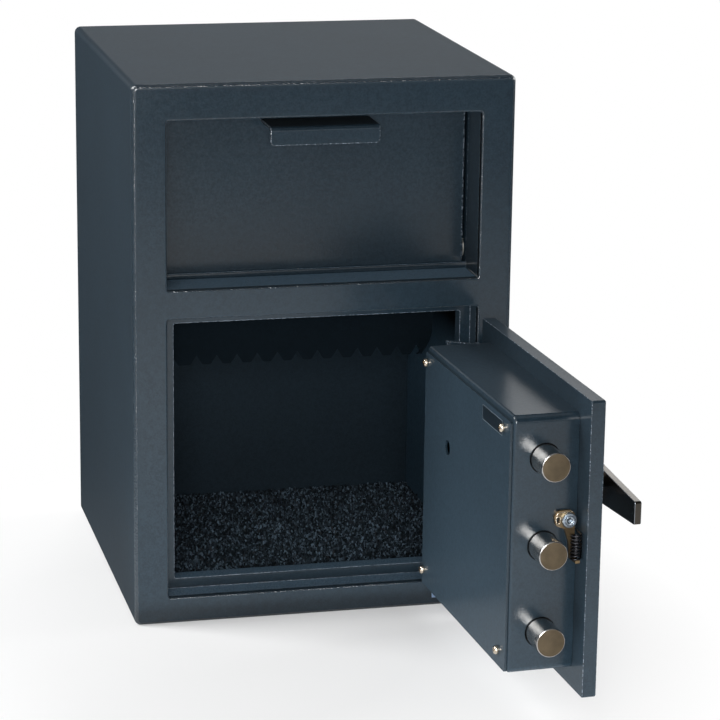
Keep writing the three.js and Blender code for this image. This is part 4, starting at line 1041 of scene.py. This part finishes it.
def make_dial_numbers():
    """Plain numbers at each tenth mark, laid on the cone inside the marks."""
    up_the_cone = 6.6
    radius = DIAL_RIM - up_the_cone * math.cos(SLOPE)
    height = CONE_FOOT + up_the_cone * math.sin(SLOPE)
    numbers = bmesh.new()
    for number in range(0, 100, 10):
        letters = bpy.data.curves.new("number", "FONT")
        letters.body = str(number)
        letters.size = 4.6 * MM
        letters.extrude = 0.06 * MM
        letters.align_x = "CENTER"
        letters.align_y = "CENTER"
        carrier = placed("number", letters)
        graph = bpy.context.evaluated_depsgraph_get()
        mesh = bpy.data.meshes.new_from_object(carrier.evaluated_get(graph))
        around = Matrix.Rotation(-2 * math.pi * number / 100, 4, "Z")
        lifted = Matrix.Translation(Vector((0, radius, height + 0.05)) * MM)
        mesh.transform(ON_DIAL @ around @ lifted @ Matrix.Rotation(-SLOPE, 4, "X"))
        numbers.from_mesh(mesh)
        bpy.data.objects.remove(carrier)
        bpy.data.meshes.remove(mesh)
    mesh = mesh_of("dial_numbers", numbers)
    settle(new_piece("dial_numbers", mesh, [white_mark]), "dial", "black_plastic")


def make_dial_index():
    """The wedge on the sloping part of the ring that the marks are read against."""
    x, _, z = DIAL_PLACE
    ring_height, ring_crest, ring_fall = 12.0, 39.0, 1.35
    corners = []
    for radius, half in ((39.1, 0.25), (42.6, 1.2)):
        outside = ring_height - (radius - ring_crest) * ring_fall
        for side in (-half, half):
            corners.append((x + side, DOOR_FACE - outside, z + radius))
    index = bmesh.new()
    front = [index.verts.new(Vector((a, b - 0.12, c)) * MM) for a, b, c in corners]
    back = [index.verts.new(Vector((a, b + 0.3, c)) * MM) for a, b, c in corners]
    bmesh.ops.convex_hull(index, input=front + back)
    bmesh.ops.recalc_face_normals(index, faces=index.faces)
    mesh = mesh_of("dial_index", index)
    mesh.transform(DOOR)
    settle(new_piece("dial_index", mesh, [white_mark]), "door", "black_plastic")


def make_detent_rims(y, z):
    """Thin raised rims round the lever's head and round its slot, about the pivot at y, z, in pale zinc as a
    painted highlight where the edges catch the light.
    """
    head = [(-3.6, 7.1), (9.4, 7.4), (12.0, 2.9), (10.2, -4.4), (7.4, -6.2)]
    for _ in range(3):
        rounded = [head[0]]
        for (a, b), (c, d) in zip(head, head[1:]):
            rounded.append((a * 0.75 + c * 0.25, b * 0.75 + d * 0.25))
            rounded.append((a * 0.25 + c * 0.75, b * 0.25 + d * 0.75))
        head = rounded + [head[-1]]
    slot_middle, slot_radius, slot_reach = 9.5, 1.9, 1.5
    slot = []
    for step in range(25):
        angle = 2 * math.pi * step / 24
        away = slot_middle + slot_radius * math.cos(angle)
        up = slot_radius * math.sin(angle) + math.copysign(slot_reach, math.sin(angle))
        slot.append((away, up))
    for name, path in (("detent_head_rim", head), ("detent_slot_rim", slot)):
        points = [Vector((LEVER_FACE - 0.05, y + away, z + up)) * MM for away, up in path]
        rim = tube(name, points, 0.28 * MM, 8, [zinc_edge])
        rim.data.transform(DOOR)
        settle(rim, "detent", "zinc")


def make_detent_screw(y, z):
    """Flanged screw with a six-sided socket, on which the lever turns."""
    profile = [
        (0.0, -6.5), (3.0, -6.5), (3.0, 0.0), (6.7, 0.0), (6.7, 1.5), (6.5, 2.1), (5.9, 2.6),
        (5.3, 2.6), (4.9, 2.1), (4.6, 2.1), (4.3, 3.0), (3.7, 3.5), (0.0, 3.6),
    ]
    place = (LEVER_FACE - 0.3, y, z)
    screw = lathe("detent_screw_pan", profile, place, (-1, 0, 0), 64, [white_zinc])
    socket = [(0.0, 1.4), (1.7, 1.6), (2.0, 5.0), (0.0, 5.0)]
    combine(screw, "DIFFERENCE", lathe("socket", socket, place, (-1, 0, 0), 6, [dark_slot]))
    screw.data.transform(DOOR)
    settle(screw, "door", "chrome", "detent_screw")


def make_detent_spring():
    """Coil spring below the lever, with its upper end hooked behind it."""
    radius, pitch, turns, wire = 4.3, 2.9, 7.75, 0.75
    steps_in_turn = 24
    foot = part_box("detent_spring")[0].z / MM - 0.8
    centre = Vector((LEVER_FACE - 10.5, DOOR_BACK + 0.9 + radius, foot))
    points = []
    for step in range(int(turns * steps_in_turn) + 1):
        angle = 2 * math.pi * step / steps_in_turn
        out = Vector((math.cos(angle), math.sin(angle), 0)) * radius
        points.append((centre + out + Vector((0, 0, pitch * step / steps_in_turn))) * MM)
    last = points[-1]
    points += [Vector((x * MM, last.y, last.z)) for x in (LEVER_FACE - 1.55, HOUSING_SIDE - 0.3)]
    spring = tube("detent_spring_coil", points, wire * MM, 10, [black_steel])
    spring.data.transform(DOOR)
    settle(spring, "door", "black_steel", "detent_spring")


# The room


def make_floor(stage):
    """Floor that is white to the camera and takes a soft shadow near the object."""
    recipe = Recipe("floor_white")
    # Shadow shows up to 0.22 m from the front left corner and is gone at 0.5 m
    far = recipe.steps(recipe.distance_from(-0.14, -0.22), 0.22, 0.5)
    # Gloss sees the floor white about a point 1.1 m in front, and fading into the dim room away from it
    mirrored = Field(recipe, recipe.node("ShaderNodeLightPath").outputs["Is Glossy Ray"])
    faded = mirrored * recipe.steps(recipe.distance_from(0.0, -1.1), 0.3, 1.55)
    seen_white = recipe.blend(faded, (1, 1, 1, 1), rgba(stage.room))
    white = recipe.node("ShaderNodeEmission", None, {"Color": seen_white, "Strength": 1.0})
    lit = recipe.node("ShaderNodeBsdfDiffuse", None, {"Color": (0.85, 0.85, 0.85, 1)})
    share = recipe.seen() * (stage.floor_lift + far * (1.0 - stage.floor_lift))
    shape = bmesh.new()
    bmesh.ops.create_circle(shape, cap_ends=True, radius=40.0, segments=64)
    mesh = mesh_of("floor", shape)
    mesh.materials.append(recipe.surface(recipe.mixed(share, lit, white)))
    placed("floor", mesh)


def make_room(stage):
    """White behind the object for the camera, a dim room for reflections and even light for all else."""
    recipe = Recipe("studio", world=True)
    direction = recipe.node("ShaderNodeTexCoord").outputs["Generated"]
    height = recipe.field("ShaderNodeSeparateXYZ", None, {0: direction}, "Z")
    dim = rgba(stage.room)
    stops = [(0.0, (1, 1, 1, 1)), (0.12, (1, 1, 1, 1)), (0.2, dim), (0.8, dim), (1.0, (0.5, 0.5, 0.5, 1))]
    room = recipe.field("ShaderNodeValToRGB", {"stops": stops}, {"Fac": height}, "Color")
    straight = Field(recipe, recipe.node("ShaderNodeLightPath").outputs["Is Camera Ray"])
    backdrop = recipe.blend(straight, room, (1, 1, 1, 1))
    shown = recipe.node("ShaderNodeBackground", None, {"Color": backdrop, "Strength": 1.0})
    values = {"Color": (0.95, 0.97, 1, 1), "Strength": stage.ambient}
    even = recipe.node("ShaderNodeBackground", None, values)
    recipe.surface(recipe.mixed(recipe.seen(), even, shown))
    bpy.context.scene.world = recipe.owner


def soft_light(name, place, target, width, height, power):
    """A rectangular lamp aimed at a target; the camera doesn't see it."""
    lamp = bpy.data.lights.new(name, "AREA")
    lamp.shape = "RECTANGLE"
    lamp.size = width
    lamp.size_y = height
    lamp.energy = power
    holder = placed(name, lamp)
    holder.location = place
    holder.rotation_euler = (Vector(target) - Vector(place)).to_track_quat("-Z", "Y").to_euler()
    holder.visible_camera = False
    return holder


def make_lights(stage):
    middle = (0.0, -0.1, 0.25)
    soft_light("key_light", (-1.3, -2.3, 2.3), middle, 1.0, 1.0, stage.key_power)
    by_camera, door_foot = (-0.46, -2.2, 0.76), (0.12, -0.45, 0.2)
    soft_light("camera_light", by_camera, door_foot, 0.5, 0.54, stage.camera_power)
    soft_light("left_light", (-1.9, 0.3, 1.8), middle, 1.0, 1.0, stage.left_power)
    soft_light("right_light", (2.4, 0.2, 1.5), middle, 1.0, 1.0, stage.right_power)
    soft_light("back_light", (0.9, 2.6, 1.3), (0.0, 0.0, 0.45), 1.8, 1.0, stage.back_power)
    rear = soft_light("rear_light", (0.3, 2.4, 0.4), (0.0, 0.18, 0.25), 1.2, 0.5, stage.rear_power)
    rear.visible_glossy = False
    card = soft_light("floor_card", (0.0, -0.47, 0.012), (0.0, -0.47, 1.0), 1.1, 0.56, stage.card_power)
    card.visible_glossy = False
    sheen = soft_light("sheen_card", by_camera, door_foot, 0.8, 0.9, stage.sheen_power)
    sheen.visible_diffuse = False


def make_camera(stage):
    lens = bpy.data.cameras.new("photo_camera")
    lens.lens = stage.lens
    lens.sensor_width = 36.0
    lens.clip_end = 100.0
    camera = placed("photo_camera", lens)
    tilt, turn, roll = stage.camera_turn
    look = Matrix.Rotation(roll, 3, "Z") @ Matrix.Rotation(turn, 3, "Y") @ Matrix.Rotation(tilt, 3, "X")
    upright = Matrix(((1, 0, 0), (0, 0, -1), (0, 1, 0)))
    flip = Matrix(((1, 0, 0), (0, -1, 0), (0, 0, -1)))
    turned = (flip @ look @ upright).transposed().to_4x4()
    camera.matrix_world = Matrix.Translation(stage.camera_place) @ turned
    bpy.context.scene.camera = camera


# One operator for each piece or group of like pieces, and one for the stage


class BuildBody(bpy.types.Operator):
    """Welded body: wrap and front face as one skin, back, jamb and the lining of the deposit recess"""

    bl_idname = "safe.build_body"
    bl_label = "Body"

    def execute(self, context):
        edge = context.scene.safe_sizes.edge
        make_body_skin(edge)
        softened_node("back_panel", "body", "paint", inner_paint, 0.4)
        for node in ("door_jamb", "recess_lining"):
            make_opening(node, edge)
        make_blank_plate()
        return {"FINISHED"}


class BuildBaffles(bpy.types.Operator):
    """Notched apron, hood behind the hopper, guide plates and the stop with its pad"""

    bl_idname = "safe.build_baffles"
    bl_label = "Baffles"

    def execute(self, context):
        sizes = context.scene.safe_sizes
        # The apron and the hood take the very dark enamel as painted shade
        for node in ("baffle_apron", "hopper_hood"):
            softened_node(node, "body", "paint", baffle_paint, sizes.sheet_edge, inner_paint)
        for node in ("hopper_guide_left", "hopper_guide_right", "closing_stop"):
            softened_node(node, "body", "paint", inner_paint, sizes.sheet_edge, paint_edge)
        for node in ("hopper_bush_left", "hopper_bush_right"):
            softened_node(node, "body", "nylon", nylon, 0.4)
        softened_node("stop_pad", "body", "rubber", rubber, 0.5)
        return {"FINISHED"}


class BuildHopper(bpy.types.Operator):
    """Hopper: front panel, bent pull, quadrants, tray and rod"""

    bl_idname = "safe.build_hopper"
    bl_label = "Hopper"

    def execute(self, context):
        sizes = context.scene.safe_sizes
        softened_node("hopper_panel", "hopper", "paint", paint, 0.8, paint_edge)
        softened_node("hopper_pull", "hopper", "paint", paint, 0.9, paint_edge)
        for node in ("hopper_quadrant_left", "hopper_quadrant_right", "hopper_tray"):
            softened_node(node, "hopper", "paint", paint, sizes.sheet_edge, paint_edge)
        softened_node("hopper_rod", "hopper", "steel", steel, 0.6)
        return {"FINISHED"}


class BuildCarpet(bpy.types.Operator):
    """Carpet on the compartment floor: a backing with tufts set in it"""

    bl_idname = "safe.build_carpet"
    bl_label = "Carpet"

    def execute(self, context):
        sizes = context.scene.safe_sizes
        tuft_height = sizes.tuft_height * MM
        top = make_backing(tuft_height)
        make_pile(top, tuft_height, sizes.tuft_spacing * MM)
        return {"FINISHED"}


class BuildHinges(bpy.types.Operator):
    """Hinge knuckles and pins on the body, cranked straps on the door"""

    bl_idname = "safe.build_hinges"
    bl_label = "Hinges"

    def execute(self, context):
        for end in ("upper", "lower"):
            softened_node(f"hinge_knuckle_{end}", "body", "paint", paint, 0.7, paint_edge)
            softened_node(f"hinge_pin_{end}", "body", "steel", steel, 0.5)
            softened_node(f"hinge_strap_{end}", "door", "paint", paint, 0.8, paint_edge)
        return {"FINISHED"}


class BuildDoor(bpy.types.Operator):
    """Door plate, bolt housing with its cover and label place, and the bar on the hinge side"""

    bl_idname = "safe.build_door"
    bl_label = "Door"

    def execute(self, context):
        sizes = context.scene.safe_sizes
        softened_node("door_plate", "door", "paint", paint, sizes.edge, paint_edge)
        softened_node("bolt_housing", "door", "paint", housing_paint, 0.9, housing_edge)
        softened_node("housing_cover", "door", "paint", paint, 0.5, paint_edge)
        softened_node("dead_bar", "door", "paint", paint, 0.8, paint_edge)
        make_label()
        return {"FINISHED"}


class BuildScrews(bpy.types.Operator):
    """Cross-headed screws of the housing cover"""

    bl_idname = "safe.build_screws"
    bl_label = "Cover screws"

    def execute(self, context):
        profile = [
            (0.0, -5.0), (1.7, -5.0), (1.7, 0.0), (3.9, 0.0), (3.9, 1.7),
            (3.6, 2.6), (2.9, 3.4), (1.6, 3.85), (0.0, 3.9),
        ]
        head = lathe("screw_pattern", profile, (0, 0, 0), (0, 1, 0), 32, [zinc_edge])
        for low, high in (((-2.2, 2.3, -0.45), (2.2, 5.0, 0.45)), ((-0.45, 2.3, -2.2), (0.45, 5.0, 2.2))):
            combine(head, "DIFFERENCE", block("recess", low, high, [dark_slot]))
        nodes = [f"cover_screw_{number}" for number in range(1, 5)]
        places = []
        for node in nodes:
            low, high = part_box(node)
            shut = DOOR.inverted() @ ((low + high) / 2)
            places.append(Vector((shut.x, (COVER_FACE + 0.3) * MM, shut.z)))
        screws = copies_on("cover_screws", places, head, zinc_edge)
        screws.data.transform(DOOR)
        settle(screws, "door", "steel", *nodes)
        return {"FINISHED"}


class BuildBolts(bpy.types.Operator):
    """Three round bolts, the bar that carries them, their screws and the guide plate"""

    bl_idname = "safe.build_bolts"
    bl_label = "Bolts"

    def execute(self, context):
        for number in range(1, 4):
            make_bolt(number, context.scene.safe_sizes.bolt_radius)
            softened_node(f"bolt_screw_{number}", "bolts", "steel", steel, 0.4)
        softened_node("bolt_bar", "bolts", "steel", steel, 0.6)
        softened_node("bolt_guide", "door", "steel", steel, 0.5)
        return {"FINISHED"}


class BuildHandle(bpy.types.Operator):
    """Lever handle with its rose, shaft and crank"""

    bl_idname = "safe.build_handle"
    bl_label = "Handle"

    def execute(self, context):
        softened_node("handle_lever", "handle", "chrome", chrome, 0.6, chrome_edge, 3)
        softened_node("handle_rose", "door", "chrome", chrome, 0.7, chrome_edge, 4)
        softened_node("handle_shaft", "handle", "steel", steel, 0.6)
        softened_node("handle_crank", "handle", "steel", steel, 0.5)
        return {"FINISHED"}


class BuildDial(bpy.types.Operator):
    """Combination dial: ring, disc with a hundred marks and plain numbers, fluted knob"""

    bl_idname = "safe.build_dial"
    bl_label = "Dial"

    def execute(self, context):
        softened_node("dial_ring", "door", "black_plastic", black_plastic, 0.6)
        make_dial_disc()
        make_dial_knob()
        make_dial_marks()
        make_dial_numbers()
        make_dial_index()
        return {"FINISHED"}


class BuildLock(bpy.types.Operator):
    """Lock: case, cover, bolt, wheels, cam, spindle and hard plate"""

    bl_idname = "safe.build_lock"
    bl_label = "Lock"

    def execute(self, context):
        softened_node("lock_case", "door", "cast_zinc", cast_zinc, 0.6)
        softened_node("lock_cover", "door", "brass", brass, 0.4)
        softened_node("lock_bolt", "lock_bolt", "brass", brass, 0.5)
        softened_node("hard_plate", "door", "steel", steel, 0.5)
        softened_node("dial_spindle", "dial", "steel", steel, 0.4)
        for node in ("lock_wheel_1", "lock_wheel_2", "lock_wheel_3", "drive_cam"):
            softened_node(node, "dial", "brass", brass, 0.2)
        return {"FINISHED"}


class BuildDetent(bpy.types.Operator):
    """Sprung lever on the free side of the housing, its screw and its coil spring"""

    bl_idname = "safe.build_detent"
    bl_label = "Detent"

    def execute(self, context):
        # The lever's rounded edges take pale zinc as a painted highlight
        softened_node("detent_lever", "detent", "zinc", zinc, 0.7, zinc_edge)
        low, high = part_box("detent_screw")
        pivot = DOOR.inverted() @ ((low + high) / 2) / MM
        make_detent_rims(pivot.y, pivot.z)
        make_detent_screw(pivot.y, pivot.z)
        make_detent_spring()
        return {"FINISHED"}


class BuildStage(bpy.types.Operator):
    """White floor, soft lights and the camera"""

    bl_idname = "safe.build_stage"
    bl_label = "Stage"

    def execute(self, context):
        context.scene.view_settings.view_transform = "Standard"
        stage = context.scene.safe_stage
        make_floor(stage)
        make_room(stage)
        make_lights(stage)
        make_camera(stage)
        return {"FINISHED"}


BUILDERS = (
    BuildBody, BuildBaffles, BuildHopper, BuildCarpet, BuildHinges, BuildDoor, BuildScrews,
    BuildBolts, BuildHandle, BuildDial, BuildLock, BuildDetent, BuildStage,
)


class SafePanel(bpy.types.Panel):
    """Settings of the safe and a button for each of its builders"""

    bl_idname = "VIEW3D_PT_drop_safe"
    bl_label = "Drop safe"
    bl_space_type = "VIEW_3D"
    bl_region_type = "UI"
    bl_category = "Drop safe"

    def draw(self, context):
        layout = self.layout
        for group in ("safe_sizes", "safe_finishes", "safe_stage"):
            settings = getattr(context.scene, group)
            box = layout.box()
            for name in settings.__annotations__:
                box.prop(settings, name)
        for builder in BUILDERS:
            layout.operator(builder.bl_idname)


def register():
    for group in (SafeSizes, SafeFinishes, SafeStage):
        bpy.utils.register_class(group)
    bpy.types.Scene.safe_sizes = bpy.props.PointerProperty(type=SafeSizes)
    bpy.types.Scene.safe_finishes = bpy.props.PointerProperty(type=SafeFinishes)
    bpy.types.Scene.safe_stage = bpy.props.PointerProperty(type=SafeStage)
    for builder in BUILDERS:
        bpy.utils.register_class(builder)
    bpy.utils.register_class(SafePanel)


def unregister():
    bpy.utils.unregister_class(SafePanel)
    for builder in reversed(BUILDERS):
        bpy.utils.unregister_class(builder)
    for name in ("safe_stage", "safe_finishes", "safe_sizes"):
        delattr(bpy.types.Scene, name)
    for group in (SafeStage, SafeFinishes, SafeSizes):
        bpy.utils.unregister_class(group)


def main():
    register()
    for builder in BUILDERS:
        family, action = builder.bl_idname.split(".")
        getattr(getattr(bpy.ops, family), action)()


if __name__ == "__main__":
    main()
